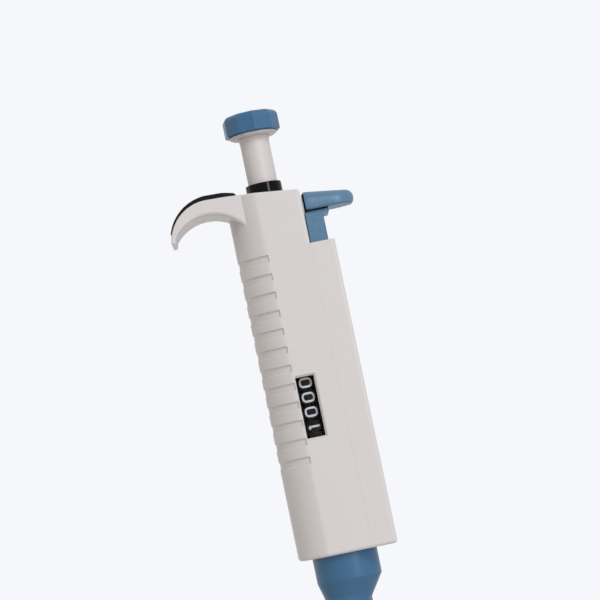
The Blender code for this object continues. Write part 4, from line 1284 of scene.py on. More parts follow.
        def plan(depth: float) -> list[Point2]:
            """Outline the cutter at one height.

            Args:
                depth: How deep it cuts at the side.

            Returns:
                Points in X and Y.
            """
            middle = self.oval_width - self.body_left
            wide = self.oval_width - self.groove_nose_depth * depth / self.groove_side_depth
            deep = self.oval_depth - depth
            start = math.acos((self.groove_end - middle) / wide)
            steps = self.groove_steps
            turns = [start + (2 * math.pi - 2 * start) * step / steps for step in range(steps + 1)]
            inner = [(middle + wide * math.cos(t), deep * math.sin(t)) for t in turns]
            far_x = -self.body_left - 2 * self.overrun
            far_y = self.half_depth + 2 * self.overrun
            far_end = self.groove_end + self.groove_end_lean
            return inner + [(far_end, -far_y), (far_x, -far_y), (far_x, far_y), (far_end, far_y)]

        low = self.groove_top - self.groove_height
        floor = self.groove_side_depth
        outside = -self.groove_clearance
        levels = [
            (outside, low - self.groove_lip),
            (self.groove_lip, low),
            (floor, low + self.groove_floor_rise),
            (floor, self.groove_top - self.groove_brow),
            (outside, self.groove_top),
        ]
        rings = [[(x, y, z) for x, y in plan(depth)] for depth, z in levels]
        return piece("grip_grooves", loft(rings))

    def window_tool(self) -> bpy.types.Object:
        """Make the window's cutter, straight through the wall and bevelled at the face.

        The left side has almost no bevel, because the grooves end close to it.

        Returns:
            The cutter.
        """

        def ring(y: float, grow: float) -> list[Point3]:
            """Outline the cutter at one depth.

            Args:
                y: The depth.
                grow: How far it is wider than the window.

            Returns:
                The points of the ring.
            """
            left = self.window_shift - self.window_width / 2 - self.window_left_share * grow
            right = self.window_shift + self.window_width / 2 + grow
            low = self.window_centre - self.window_height / 2 - grow
            high = self.window_centre + self.window_height / 2 + grow
            corner = self.window_corner + grow * self.window_corner_share
            return [(x, y, z) for x, z in rectangle(left, right, low, high, corner)]

        face = -self.half_depth
        rings = [
            ring(face + self.wall + self.overrun, 0),
            ring(face + self.window_bevel, 0),
            ring(face - self.window_bevel, 2 * self.window_bevel),
        ]
        return piece("window_way", loft(rings))

    def mouth_tool(self, name: str) -> bpy.types.Object:
        """Make the cutter of the sleeve's way out through the bottom wall.

        Args:
            name: The cutter's name.

        Returns:
            The cutter.
        """
        sleeve = Ejector()
        outline = sleeve.oval(sleeve.head_left, sleeve.head_right, sleeve.head_half, self.mouth_play)
        low = self.bottom - self.overrun
        return piece(name, prism(outline, low, self.cavity_bottom + self.overrun, Axis.Z))

    def moulding(self, bench: Bench) -> None:
        """Build the main moulding and cut its cavity, bores, grooves and window.

        Args:
            bench: What the pieces are made with.
        """
        cavity = self.section(self.wall, self.cavity_corner, self.right - self.right_wall)
        rim = self.ring_radius + self.ring_seat_play
        bore = turned(
            [
                (0, self.cavity_top - self.overrun),
                (self.stem_bore, self.cavity_top - self.overrun),
                (self.stem_bore, self.ring_bottom - self.ring_seat_drop),
                (rim, self.ring_bottom - self.ring_seat_drop),
                (rim, self.top + self.overrun),
                (0, self.top + self.overrun),
            ]
        )
        slack = self.side_opening_slack
        side = block(
            (self.right - self.right_wall - slack, -self.channel_half_width, self.cavity_bottom - slack),
            (self.right + self.overrun, self.channel_half_width, self.side_opening_top),
        )
        grooves = bench.rows.run(
            self.groove_tool(),
            {
                "Count": self.groove_count,
                "Pitch": -self.groove_pitch,
                "Material": bench.wardrobe.materials[Finish.SHELL],
            },
        )
        body = combine(self.trunk(), [grooves, self.window_tool()], Cut.REMOVE)
        combine(body, [self.hook()], Cut.ADD)
        tools = [
            piece("cavity", prism(cavity, self.cavity_bottom, self.cavity_top, Axis.Z)),
            self.mouth_tool("shell_mouth"),
            piece("side_opening", side),
            piece("stem_way", bore),
        ]
        combine(body, tools, Cut.REMOVE)
        bench.seat(even_shading(body), Finish.SHELL, "handle", "shell_plastic", ["handle_shell"])

    def cover(self, bench: Bench) -> None:
        """Build the narrow right-hand moulding that guides the ejector's post and bar.

        Args:
            bench: What the piece is made with.
        """
        left = self.cover_left

        def ring(inset: float, height: float) -> list[Point3]:
            """Outline the cover at one height.

            Args:
                inset: How far inside its front, back and right face.
                height: Where it lies.

            Returns:
                The points of the ring.
            """
            deep = self.half_depth - inset
            right = self.cover_right - inset
            corners = [
                (left, deep, self.seam_corner),
                (left, -deep, self.seam_corner),
                (right, -deep, self.cover_corner),
                (right, deep, self.cover_corner),
            ]
            return [(x, y, height) for x, y in rounded(corners, closed=True, steps=8)]

        rings = [ring(inset, self.bottom + rise) for rise, inset in quarter_round(self.bottom_fillet, 4)]
        rings += [ring(inset, self.step_top - drop) for inset, drop in quarter_round(self.cover_edge, 4)]
        body = piece("ejector_channel", loft(rings))
        start = left - self.overrun
        wide = self.channel_half_width
        slot = self.post_slot_half
        way = self.bar_way_half
        boxes = {
            "channel_below": (
                (start, -wide, self.cavity_bottom),
                (self.channel_right, wide, self.ledge_bottom),
            ),
            "channel_above": ((start, -wide, self.ledge_top), (self.channel_right, wide, self.channel_top)),
            "bar_way": ((start, -way, self.bar_way_low), (self.bar_way_right, way, self.bar_way_high)),
            "post_way": (
                (start, -slot, self.post_slot_low),
                (self.post_slot_right, slot, self.post_slot_high),
            ),
        }
        tools = [piece(name, block(low, high)) for name, (low, high) in boxes.items()]
        combine(body, [*tools, self.mouth_tool("cover_mouth")], Cut.REMOVE)
        bench.seat(even_shading(body), Finish.SHELL, "handle", "shell_plastic", ["ejector_cover"])

    def strip(self, bench: Bench) -> None:
        """Build the soft black strip on the hook, thick near the handle and thin at the tip.

        Args:
            bench: What the piece is made with.
        """
        x, z, radius = self.hook_outer
        start = 90 * DEGREE
        steps = self.hook_steps
        under = arc((x, z), radius + self.strip_gap, start, self.strip_tip_angle, steps)
        over: list[Point2] = []
        for step in range(steps + 1):
            share = step / steps
            turn = start + (self.strip_tip_angle - start) * share
            reach = radius + self.strip_thick + (self.strip_thin - self.strip_thick) * share
            over.append((x + reach * math.cos(turn), z + reach * math.sin(turn)))
        nose = [(across, z + radius + rise) for across, rise in self.strip_nose]
        depth = self.strip_half_depth
        strip = piece("hook_strip", prism(under[::-1] + nose + over, -depth, depth, Axis.Y, self.strip_edge))
        bench.seat(even_shading(strip), Finish.RUBBER, "handle", "hook_rubber", ["hook_pad"])

    def lens(self, bench: Bench) -> None:
        """Build the clear plate of the window.

        Args:
            bench: What the piece is made with.
        """
        half = self.window_width / 2 - self.lens_gap
        tall = self.window_height / 2 - self.lens_gap
        centre = self.window_centre
        front = -self.half_depth + self.lens_inset
        corners = rectangle(-half, half, centre - tall, centre + tall, self.lens_corner)
        outline = [(x + self.window_shift, z) for x, z in corners]
        solid = prism(outline, front, front + self.lens_thickness, Axis.Y, self.lens_edge)
        plate = even_shading(piece("window_plate", solid))
        bench.seat(plate, Finish.LENS, "handle", "lens_clear", ["window_lens"])

    def ring(self, bench: Bench) -> None:
        """Turn the black ring round the stem.

        Args:
            bench: What the piece is made with.
        """
        profile = rounded(
            [
                (self.ring_bore, self.ring_bottom, self.ring_fine_edge),
                (self.ring_radius, self.ring_bottom, self.ring_fine_edge),
                (self.ring_radius, self.ring_top, self.ring_edge),
                (self.ring_mouth, self.ring_top, self.ring_fine_edge),
                (self.ring_bore, self.ring_top - self.ring_flare, self.ring_flare_edge),
            ],
            closed=True,
            steps=6,
        )
        ring = even_shading(piece("stem_ring", turned(profile)))
        bench.seat(ring, Finish.BLACK, "handle", "black_plastic", ["top_collar"])

    def build(self, bench: Bench) -> None:
        """Build every piece of the handle's outside.

        Args:
            bench: What the pieces are made with.
        """
        self.moulding(bench)
        self.cover(bench)
        self.strip(bench)
        self.lens(bench)
        self.ring(bench)


# Counter


@dataclass
class Counter:
    """The number wheels with their digits, the frame, the shaft and the pinions."""

    drum_radius: float = 8.0 * MM
    raise_of_ink: float = 0.02 * MM
    ink_depth: float = 0.05 * MM
    digit_width: float = 3.0 * MM
    digit_drop: float = 0.1 * MM
    digit_height: float = 3.94 * MM
    stroke: float = 0.6 * MM
    bend: float = 0.95 * MM
    shift: float = 0.18 * MM
    layer: float = 0.004 * MM
    run_length: float = 0.35 * MM
    band_height: float = 3.1 * MM
    wheels: dict[str, tuple[str, int, int]] = field(
        default_factory=lambda: {
            "units_wheel": ("dial", 0, 5),
            "tens_wheel": ("tens", 0, 1),
            "hundreds_wheel": ("hundreds", 0, 1),
            "thousands_wheel": ("thousands", 1, 1),
        }
    )

    def strokes(self) -> dict[int, list[tuple[bool, list[Point2]]]]:
        """Give each digit's strokes on a square from 0 to 1.

        Returns:
            For each digit its strokes, each with whether it closes.
        """
        loop = [(0, 0), (1, 0), (1, 1), (0, 1)]
        return {
            0: [(True, loop)],
            1: [(False, [(0.22, 0.84), (0.5, 1), (0.5, 0)])],
            2: [(False, [(0, 1), (1, 1), (1, 0.52), (0, 0.46), (0, 0), (1, 0)])],
            3: [(False, [(0, 1), (1, 1), (1, 0), (0, 0)]), (False, [(0.25, 0.5), (0.9, 0.5)])],
            4: [(False, [(0.7, 0), (0.7, 1), (0, 0.3), (1, 0.3)])],
            5: [(False, [(1, 1), (0, 1), (0, 0.56), (1, 0.56), (1, 0), (0, 0)])],
            6: [(False, [(0.9, 1), (0, 1), (0, 0), (1, 0), (1, 0.54), (0.1, 0.54)])],
            7: [(False, [(0, 1), (1, 1), (0.35, 0)])],
            8: [(True, loop), (False, [(0.1, 0.52), (0.9, 0.52)])],
            9: [(False, [(0.1, 0), (1, 0), (1, 1), (0, 1), (0, 0.46), (0.9, 0.46)])],
        }

    def ribbon(self, mesh: bmesh.types.BMesh, line: Sequence[Point2], closed: bool, rise: float) -> None:
        """Lay one flat stroke on the drum's front, bent to its curve.

        Args:
            mesh: Where it goes.
            line: Its middle line, across and up.
            closed: Whether it is a loop.
            rise: How far it stands off the drum.
        """
        count = len(line)
        sides: list[tuple[Vector, Vector]] = []
        for index in range(count):
            here = Vector(line[index])
            before = Vector(line[index - 1]) if closed or index else here
            after = Vector(line[(index + 1) % count]) if closed or index < count - 1 else here
            run = (after - before).normalized()
            normal = Vector((-run.y, run.x)) * self.stroke / 2
            sides.append((here + normal, here - normal))

        def place(spot: Vector, radius: float) -> Point3:
            """Bend a flat point round the drum at a radius."""
            angle = -spot.y / self.drum_radius
            return (radius * math.sin(angle), -radius * math.cos(angle), spot.x)

        outer = self.drum_radius + self.raise_of_ink + rise
        inner = outer - self.ink_depth
        rows = [[place(a, outer), place(b, outer), place(b, inner), place(a, inner)] for a, b in sides]
        corners = [[mesh.verts.new(spot) for spot in row] for row in rows]
        pairs = list(zip(corners, corners[1:]))
        if closed:
            pairs.append((corners[-1], corners[0]))
        else:
            mesh.faces.new(corners[0])
            mesh.faces.new(corners[-1])
        for first, second in pairs:
            for index in range(4):
                following = (index + 1) % 4
                mesh.faces.new((first[index], first[following], second[following], second[index]))

    def digits(self) -> bpy.types.Collection:
        """Build the ten digits, each on the front of the drum at height zero.

        Returns:
            The digits, in a collection outside the scene.
        """
        group = bpy.data.collections.new("number_types")
        across = self.digit_width - self.stroke
        up = self.digit_height - self.stroke
        for value, lines in self.strokes().items():
            mesh = bmesh.new()
            for order, (closed, line) in enumerate(lines):
                corners = [((u - 0.5) * across, (v - 0.5) * up, self.bend) for u, v in line]
                rows = self.dense(rounded(corners, closed=closed, steps=7), closed)
                self.ribbon(mesh, rows, closed, -self.layer * order)
            made = piece(f"digit_{value}", mesh)
            bpy.context.scene.collection.objects.unlink(made)
            group.objects.link(made)
        return group

    def dense(self, line: Sequence[Point2], closed: bool) -> list[Point2]:
        """Split the long runs of a line, so that it can follow the drum.

        Args:
            line: The line.
            closed: Whether its last point joins the first.

        Returns:
            The line with the points between.
        """
        result: list[Point2] = []
        ends = list(line[1:]) + ([line[0]] if closed else [])
        for start, end in zip(line, ends):
            parts = max(1, round(math.dist(start, end) / self.run_length))
            for share in (step / parts for step in range(parts)):
                across, up = (a + (b - a) * share for a, b in zip(start, end))
                result.append((across, up))
        if not closed:
            result.append(line[-1])
        return result

    def build(self, bench: Bench) -> None:
        """Dress the wheels, and put a ring of numbers on each.

        Args:
            bench: What the pieces are made with.
        """
        digits = self.digits()
        for wheel, (body, first, stride) in self.wheels.items():
            low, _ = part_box(wheel)
            middle = low.z + self.band_height / 2 - self.digit_drop
            ring = bench.numbers.run(
                placed(wheel.replace("wheel", "numbers"), bpy.data.meshes.new("numbers")),
                {
                    "Digits": digits,
                    "Count": 10,
                    "First": first,
                    "Stride": stride,
                    "Step Angle": 36 * DEGREE,
                    "Material": bench.wardrobe.materials[Finish.NUMBERS],
                },
            )
            shift = Matrix.Rotation(self.shift / self.drum_radius, 4, "Z")
            ring.data.transform(Matrix.Translation((0, 0, middle)) @ shift)
            bench.seat(ring, Finish.NUMBERS, body, "wheel_plastic")
        for made in list(digits.objects):
            bpy.data.objects.remove(made, do_unlink=True)
        bench.keep(list(self.wheels), Finish.DRUM)
        pinions = [f"transfer_pinion_{word}" for word in ("tens", "hundreds", "thousands")]
        bench.keep(pinions, Finish.FRAME)
        bench.keep(["counter_frame"], Finish.DRUM)
        bench.keep(["pinion_shaft"], Finish.STEEL)


# Plunger


@dataclass
class Plunger:
    """The faceted button, its pale disc and the stem, with the rod and the stop flange inside."""

    button_radius: float = 8.65 * MM
    button_sides: int = 10
    button_turn: float = 7.3 * DEGREE
    button_bottom: float = 227.83 * MM
    button_top: float = 234.03 * MM
    button_fillet: float = 1.8 * MM
    button_foot: float = 0.25 * MM
    corner_round: float = 0.5 * MM
    dish: tuple[Point2, ...] = ((0.82, 0.0), (0.74, 0.12 * MM), (0.4, 0.3 * MM))
    socket_radius: float = 2.5 * MM
    socket_depth: float = 3.0 * MM
    overrun: float = 1.0 * MM
    disc_radius: float = 7.35 * MM
    disc_bottom: float = 226.75 * MM
    disc_top: float = 227.75 * MM
    disc_chamfer: Point2 = (0.9 * MM, 0.5 * MM)
    disc_edges: Point3 = (0.6 * MM, 0.25 * MM, 0.1 * MM)
    disc_gap: float = 0.03 * MM
    stem_radius: float = 4.48 * MM
    stem_bore: float = 2.4 * MM
    stem_bottom: float = 189.15 * MM
    stem_edge: float = 0.2 * MM
    stem_flare: float = 0.3 * MM
    flare_length: float = 1.6 * MM

    def facets(self, inset: float, height: float) -> list[Point3]:
        """List one ring of the button: flats joined by small round corners.

        Args:
            inset: How far inside the full outline it lies.
            height: Where it lies.

        Returns:
            The points of the ring.
        """
        step = 2 * math.pi / self.button_sides
        start = -90 * DEGREE + self.button_turn
        corners = []
        for index in range(self.button_sides):
            turn = start + index * step
            reach = self.button_radius - inset / math.cos(step / 2)
            corners.append((reach * math.cos(turn), reach * math.sin(turn), self.corner_round))
        return [(x, y, height) for x, y in rounded(corners, closed=True, steps=4)]

    def button(self, bench: Bench) -> None:
        """Loft the faceted cap, with a rounded upper edge, a dished top and a socket below.

        Args:
            bench: What the piece is made with.
        """
        rings = [
            self.facets(self.button_foot, self.button_bottom),
            self.facets(0, self.button_bottom + self.button_foot),
        ]
        for inset, drop in quarter_round(self.button_fillet, 6):
            rings.append(self.facets(inset, self.button_top - drop))
        mesh = loft(rings, caps=False)
        mesh.verts.ensure_lookup_table()
        count = len(rings[0])
        top = mesh.verts[-count:]
        for share, drop in self.dish:
            inner = []
            for vert in top:
                spot = Vector((vert.co.x, vert.co.y)).normalized() * self.button_radius * share
                inner.append(mesh.verts.new((spot.x, spot.y, self.button_top - drop)))
            for index in range(count):
                following = (index + 1) % count
                mesh.faces.new((top[index], top[following], inner[following], inner[index]))
            top = inner
        mesh.faces.new(top)
        mesh.verts.ensure_lookup_table()
        mesh.faces.new(mesh.verts[:count])
        cap = piece("push_button", mesh, FACET_CREASE)
        hexagon = arc((0, 0), self.socket_radius, 0, 300 * DEGREE, 5)
        low = self.button_bottom - self.overrun
        socket = prism(hexagon, low, self.button_bottom + self.socket_depth, Axis.Z)
        combine(cap, [piece("button_socket", socket)], Cut.REMOVE)
        even_shading(cap, FACET_CREASE)
        bench.seat(cap, Finish.BLUE, "plunger", "blue_plastic", ["push_button_cap"])

    def disc(self, bench: Bench) -> None:
        """Turn the thin pale disc under the button.

        Args:
            bench: What the piece is made with.
        """
        inward, upward = self.disc_chamfer
        under_edge, side_edge, top_edge = self.disc_edges
        profile = rounded(
            [
                (self.stem_bore, self.disc_bottom, 0),
                (self.disc_radius - inward, self.disc_bottom, under_edge),
                (self.disc_radius, self.disc_bottom + upward, side_edge),
                (self.disc_radius, self.disc_top, top_edge),
                (self.stem_bore, self.disc_top, 0),
            ],
            closed=True,
        )
        disc = even_shading(piece("button_washer", turned(profile)))
        bench.seat(disc, Finish.STEM, "plunger", "stem_plastic", ["button_disc"])

    def stem(self, bench: Bench) -> None:
        """Turn the stem, which flares a little under the disc.

        Args:
            bench: What the piece is made with.
        """
        top = self.disc_bottom - self.disc_gap
        profile = rounded(
            [
                (self.stem_bore, self.stem_bottom, 0),
                (self.stem_radius, self.stem_bottom, self.stem_edge),
                (self.stem_radius, top - self.flare_length, self.flare_length),
                (self.stem_radius + self.stem_flare, top, 0),
                (self.stem_bore, top, 0),
            ],
            closed=True,
            steps=8,
        )
        stem = even_shading(piece("stem", turned(profile)))
        bench.seat(stem, Finish.STEM, "plunger", "stem_plastic", ["plunger_stem"])

    def build(self, bench: Bench) -> None:
        """Build the pieces that the thumb moves, and dress those inside.

        Args:
            bench: What the pieces are made with.
        """
        self.button(bench)
        self.disc(bench)
        self.stem(bench)
        bench.keep(["operating_rod", "stop_flange"], Finish.STEEL)


# Ejector


@dataclass
class Ejector:
    """The thumb pad, its holder, the post, the bar and the sleeve that pushes the tip off."""

    pad_left: float = 11.1 * MM
    pad_right: float = 26.1 * MM
    pad_bottom: float = 201.1 * MM
    pad_height: float = 6.2 * MM
    pad_half: float = 6.0 * MM
    pad_slope: float = 8.0 * DEGREE
    pad_end: float = 2.4 * MM
    pad_curve: float = 7.0 * MM
    pad_edge: float = 0.7 * MM
    pad_left_edge: float = 0.15 * MM
    pad_edge_share: float = 0.3
    pad_crown: float = 2.6
    pad_bunching: float = 1.7
    pad_least: Point2 = (0.0004, 0.002)
    pad_under_start: float = 0.5
    pad_steps: int = 44
    crown_steps: int = 36
    # The holder's black left wall and floor are sized to show as the dark lines at the pad's left end and
    # under it. They are partly the holder and partly painted shadow of the gaps there.
    holder_shadow_floor: float = 0.3 * MM
    holder_shadow_wall: float = 0.5 * MM
    holder_gap: float = 0.05 * MM
    post_left: float = 10.5 * MM
    post_right: float = 15.9 * MM
    post_half: float = 4.5 * MM
    post_bottom: float = 178.0 * MM
    post_top: float = 200.7 * MM
    post_edge: float = 0.3 * MM
    post_top_edge: float = 0.2 * MM
    lip_reach: float = 1.9 * MM
    lip_height: float = 1.4 * MM
    lip_root: float = 0.5 * MM
    lip_edge: float = 0.7 * MM
    head_left: float = 8.4 * MM
    head_right: float = 11.5 * MM
    head_half: float = 9.0 * MM
    sleeve_top: float = 112.0 * MM
    shoulder: float = 90.2 * MM
    neck_left: Point2 = (85.6 * MM, 7.05 * MM)
    neck_right: Point2 = (83.7 * MM, 7.05 * MM)
    neck_half: Point2 = (85.3 * MM, 7.25 * MM)
    shoulder_ease: float = 0.4 * MM
    shoulder_flare: float = 0.1 * MM
    bend_spacing: float = 0.1 * MM
    hairline: float = 0.01 * MM
    barrel: float = 7.05 * MM
    taper_top: float = 40.0 * MM
    end_radius: float = 4.9 * MM
    sleeve_bottom: float = 20.5 * MM
    sleeve_wall: float = 0.8 * MM
    sleeve_foot: float = 0.25 * MM
    sleeve_steps: int = 60
    ear_bottom: float = 108.5 * MM
    ear_right: float = 14.4 * MM
    ear_half: float = 3.5 * MM

    def oval(
        self, left: float, right: float, half: float, grow: float = 0.0, steps: int = 96
    ) -> list[Point2]:
        """Outline the sleeve at one height.

        Args:
            left: Reach to the left of the axis.
            right: Reach to the right of the axis.
            half: Half its depth.
            grow: How far outside that the outline runs.
            steps: Number of points.

        Returns:
            Points in X and Y.
        """
        centre = (right - left) / 2
        wide = (right + left) / 2 + grow
        turns = [2 * math.pi * step / steps for step in range(steps)]
        return [(centre + wide * math.cos(t), (half + grow) * math.sin(t)) for t in turns]

    def pad(self, bench: Bench) -> None:
        """Loft the thumb pad from crowned sections, narrowing to a round end.

        Args:
            bench: What the piece is made with.
        """
        length = self.pad_right - self.pad_left
        fall = math.tan(self.pad_slope)
        middle = self.pad_bottom + self.pad_height - (length - self.pad_end) * fall - self.pad_end
        least_half, least_top = self.pad_least
        rings = []
        for step in range(self.pad_steps + 1):
            eased = 1 - (1 - step / self.pad_steps) ** self.pad_bunching
            x = self.pad_left + length * eased
            past = max(0.0, x - (self.pad_right - self.pad_curve)) / self.pad_curve
            half = self.pad_half * math.sqrt(max(least_half, 1 - past**2))
            into = max(0.0, x - (self.pad_right - self.pad_end)) / self.pad_end
            top = self.pad_bottom + self.pad_height - (x - self.pad_left) * fall
            if into > 0:
                top = middle + self.pad_end * math.sqrt(max(least_top, 1 - into**2))
            under = max(0.0, into - self.pad_under_start) / (1 - self.pad_under_start)
            lift = 1 - math.sqrt(max(0.0, 1 - under**2))
            bottom = self.pad_bottom + (middle - self.pad_bottom) * lift
            trim = self.pad_left_edge * (1 - min(1.0, step / 2)) ** 2
            rings.append(self.pad_section(x, half - trim, bottom + trim * 0.5, top - trim))
        pad = even_shading(piece("thumb_pad", loft(rings), FACET_CREASE), FACET_CREASE)
        bench.seat(pad, Finish.GRAINED_BLUE, "ejector", "blue_plastic", ["ejector_pad"])

    def pad_section(self, x: float, half: float, bottom: float, top: float) -> list[Point3]:
        """List one section of the pad: crowned above, flat below with small round edges.

        Args:
            x: Where it lies.
            half: Half its depth.
            bottom: Its lowest height.
            top: Its highest height.

        Returns:
            The points of the section.
        """
        height = top - bottom
        edge = min(self.pad_edge, height * self.pad_edge_share, half * self.pad_edge_share)
        power = 2 / self.pad_crown
        steps = self.crown_steps
        points = []
        for step in range(steps + 1):
            turn = math.pi * step / steps
            across = math.copysign(abs(math.cos(turn)) ** power, math.cos(turn))
            up = math.sin(turn) ** power if 0 < step < steps else 0.0
            points.append((x, -half * across, bottom + edge + (height - edge) * up))
        corner = quarter_round(edge, 4)[1:]
        points += [(x, half - inset, bottom + rise) for inset, rise in corner]
        points += [(x, inset - half, bottom + rise) for inset, rise in reversed(corner)]
        return points

    def post(self, bench: Bench) -> None:
        """Extrude the flat post with the lip under the holder.

        Args:
            bench: What the piece is made with.
        """
        lip = self.post_right + self.lip_reach
        outline = rounded(
            [
                (self.post_left, self.post_bottom, self.post_edge),
                (self.post_right, self.post_bottom, self.post_edge),
                (self.post_right, self.post_top - self.lip_height, self.lip_root),
                (lip, self.post_top - self.lip_height, self.lip_edge),
                (lip, self.post_top, self.post_top_edge),
                (self.post_left, self.post_top, self.post_top_edge),
            ],
            closed=True,
        )
        post = prism(outline, -self.post_half, self.post_half, Axis.Y, self.post_edge)
        post = even_shading(piece("flat_post", post))
        bench.seat(post, Finish.GRAINED_BLUE, "ejector", "blue_plastic", ["ejector_post"])

    def holder(self, bench: Bench) -> None:
        """Extrude the thin black holder between the pad and the post, whose black wall and floor also paint
        the shadow in the gaps there.

        Args:
            bench: What the piece is made with.
        """
        low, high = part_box("ejector_bracket")
        inside = low.x + self.holder_shadow_wall
        foot = low.z + self.holder_gap
        seat = foot + self.holder_shadow_floor
        outline = [
            (low.x, foot),
            (high.x, foot),
            (high.x, seat),
            (inside, seat),
            (inside, high.z),
            (low.x, high.z),
        ]
        holder = piece("pad_holder", prism(outline, low.y, high.y, Axis.Y))
        # Black finish: the holder's own colour, and painted shadow of the gaps beside and under the pad.
        bench.seat(holder, Finish.BLACK, "ejector", "black_plastic", ["ejector_bracket"])

    def sleeve(self, bench: Bench) -> None:
        """Loft the sleeve: oval head, uneven shoulder, round barrel and tapered end, with its ear.

        Args:
            bench: What the piece is made with.
        """
        tables = [
            [
                (self.sleeve_bottom, self.end_radius),
                (self.taper_top, self.barrel),
                neck,
                (self.shoulder, head - self.shoulder_flare),
                (self.sleeve_top, head),
            ]
            for neck, head in (
                (self.neck_left, self.head_left),
                (self.neck_right, self.head_right),
                (self.neck_half, self.head_half),
            )
        ]
        span = self.sleeve_top - self.sleeve_bottom
        steps = self.sleeve_steps
        heights = {round(self.sleeve_bottom + span * step / steps, 6) for step in range(steps + 1)}
        for bend in (self.shoulder, self.neck_left[0], self.neck_right[0], self.taper_top):
            heights |= {round(bend + self.bend_spacing * step, 6) for step in range(-3, 4)}
        heights.add(round(self.sleeve_bottom + self.sleeve_foot, 6))
        outside = []
        inside = []
        for z in sorted(heights):
            width = min(self.shoulder_ease, 2 * (z - self.sleeve_bottom), 2 * (self.sleeve_top - z))
            sizes = [softened(table, z, max(0.0, width)) for table in tables]
            trim = -self.sleeve_foot if z <= self.sleeve_bottom + self.hairline else 0.0
            outside.append([(x, y, z) for x, y in self.oval(*sizes, trim)])
            inside.append([(x, y, z) for x, y in self.oval(*sizes, -self.sleeve_wall)])
        sleeve = piece("push_off_sleeve", loft(outside + inside[::-1], around=True))
        ear = block(
            (self.head_right - self.sleeve_wall / 2, -self.ear_half, self.ear_bottom),
            (self.ear_right, self.ear_half, self.sleeve_top - self.hairline),
        )
        combine(sleeve, [piece("sleeve_ear", ear)], Cut.ADD)
        bench.seat(even_shading(sleeve), Finish.BLUE, "ejector", "blue_plastic", ["ejector_sleeve"])

    def build(self, bench: Bench) -> None:
        """Build the pieces of the ejector, and dress its bar.

        Args:
            bench: What the pieces are made with.
        """
        self.pad(bench)
        self.holder(bench)
        self.post(bench)
        self.sleeve(bench)
        bench.keep(["ejector_bar"], Finish.STEEL)


# Liquid end and springs


@dataclass
class LiquidEnd:
    """The tip cone, and the cylinder, piston, nut and other pieces inside."""

    cone_end: float = 3.1 * MM
    cone_top: float = 3.75 * MM
    cone_length: float = 22.0 * MM
    shank_radius: float = 5.4 * MM
    shank_bottom: float = 35.7 * MM
    shank_top: float = 39.7 * MM
    spigot_radius: float = 4.95 * MM
    spigot_top: float = 45.0 * MM
    bore: float = 0.8 * MM
    rib_heights: tuple[float, ...] = (7.0 * MM, 10.5 * MM)
    rib_depth: float = 0.12 * MM
    rib_width: float = 0.7 * MM
    rib_edge: float = 0.08 * MM
    rib_floor: float = 0.3 * MM
    bore_edge: float = 0.1 * MM
    end_edge: float = 0.35 * MM
    cone_blend: float = 2.0 * MM
    shank_blend: float = 1.0 * MM
    spigot_edge: float = 0.2 * MM

    def cone(self, bench: Bench) -> None:
        """Turn the tip cone, with two fine sealing grooves near its end.

        Args:
            bench: What the piece is made with.
        """
        corners = [(self.bore, 0.0, self.bore_edge), (self.cone_end, 0.0, self.end_edge)]
        for height in self.rib_heights:
            radius = self.cone_end + (self.cone_top - self.cone_end) * height / self.cone_length
            corners += [
                (radius, height - self.rib_width / 2, self.rib_edge),
                (radius - self.rib_depth, height, self.rib_floor),
                (radius, height + self.rib_width / 2, self.rib_edge),
            ]
        corners += [
            (self.cone_top, self.cone_length, self.cone_blend),
            (self.shank_radius, self.shank_bottom, self.shank_blend),
            (self.shank_radius, self.shank_top, self.bore_edge),
            (self.spigot_radius, self.shank_top, 0),
            (self.spigot_radius, self.spigot_top, self.spigot_edge),
            (self.bore, self.spigot_top, self.bore_edge),
        ]
        cone = even_shading(piece("tip_holder", turned(rounded(corners, closed=True))))
        bench.seat(cone, Finish.IVORY, "handle", "cylinder_plastic", ["tip_cone"])

    def build(self, bench: Bench) -> None:
        """Build the cone and dress the pieces that stay as the frame has them.

        Args:
            bench: What the pieces are made with.
        """
        self.cone(bench)
        bench.keep(["piston_cylinder"], Finish.IVORY)
        bench.keep(["piston"], Finish.STEEL)
        bench.keep(["volume_spindle", "volume_nut", "seal_retainer"], Finish.BRASS)
        bench.keep(["nut_guide", "stem_guide", "nose_tube", "piston_head"], Finish.FRAME)
        bench.keep(["piston_seal", "spindle_drag_ring"], Finish.SEAL)


@dataclass(frozen=True)
class Coil:
    """One compression spring and how far it closes."""

    name: str
    node: str
    body: str
    joint: str
    turns: float
    wire: float
    travel: float

    def build(self, bench: Bench) -> None:
        """Wind the spring in the space of its node, and let it ride on its body.

        Args:
            bench: What the spring is made with.
        """
        low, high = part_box(self.node)
        radius = (high.x - low.x) / 2 - self.wire / 2
        height = high.z - low.z - self.wire
        place = Vector(((low.x + high.x) / 2, 0, low.z + self.wire / 2))
        coil = bench.coils.run(
            placed(self.name, bpy.data.meshes.new(self.name)),
            {
                "Turns": self.turns,
                "Radius": radius,
                "Height": height,
                "Wire": self.wire / 2,
                "Place": place,
                "Material": bench.wardrobe.materials[Finish.STEEL],
            },
        )
        bench.seat(coil, Finish.STEEL, self.body, "steel", [self.node])
        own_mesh(coil)


COILS = (
    Coil("piston_return_coil", "return_spring", "handle", "plunger_press", 7, 0.9 * MM, 14.2 * MM),
    Coil("second_stop_coil", "blowout_spring", "nut", "plunger_press", 5, 0.7 * MM, 1.5 * MM),
    Coil("ejector_coil", "ejector_spring", "handle", "ejector_press", 9, 0.6 * MM, 8.0 * MM),
)


# Studio and camera


@dataclass(frozen=True)
class Lamp:
    """One soft square lamp."""

    name: str
    place: Point3
    size: float
    power: float
    colour: Colour

    def build(self, aim: Vector) -> None:
        """Set the lamp up and turn it to a point.

        Args:
            aim: The point.
        """
        data = bpy.data.lights.new(self.name, "AREA")
        data.size = self.size
        data.energy = self.power
        data.color = linear(self.colour)[:3]
        lamp = placed(self.name, data)
        lamp.location = self.place
        lamp.rotation_euler = (aim - Vector(self.place)).to_track_quat("-Z", "Y").to_euler()


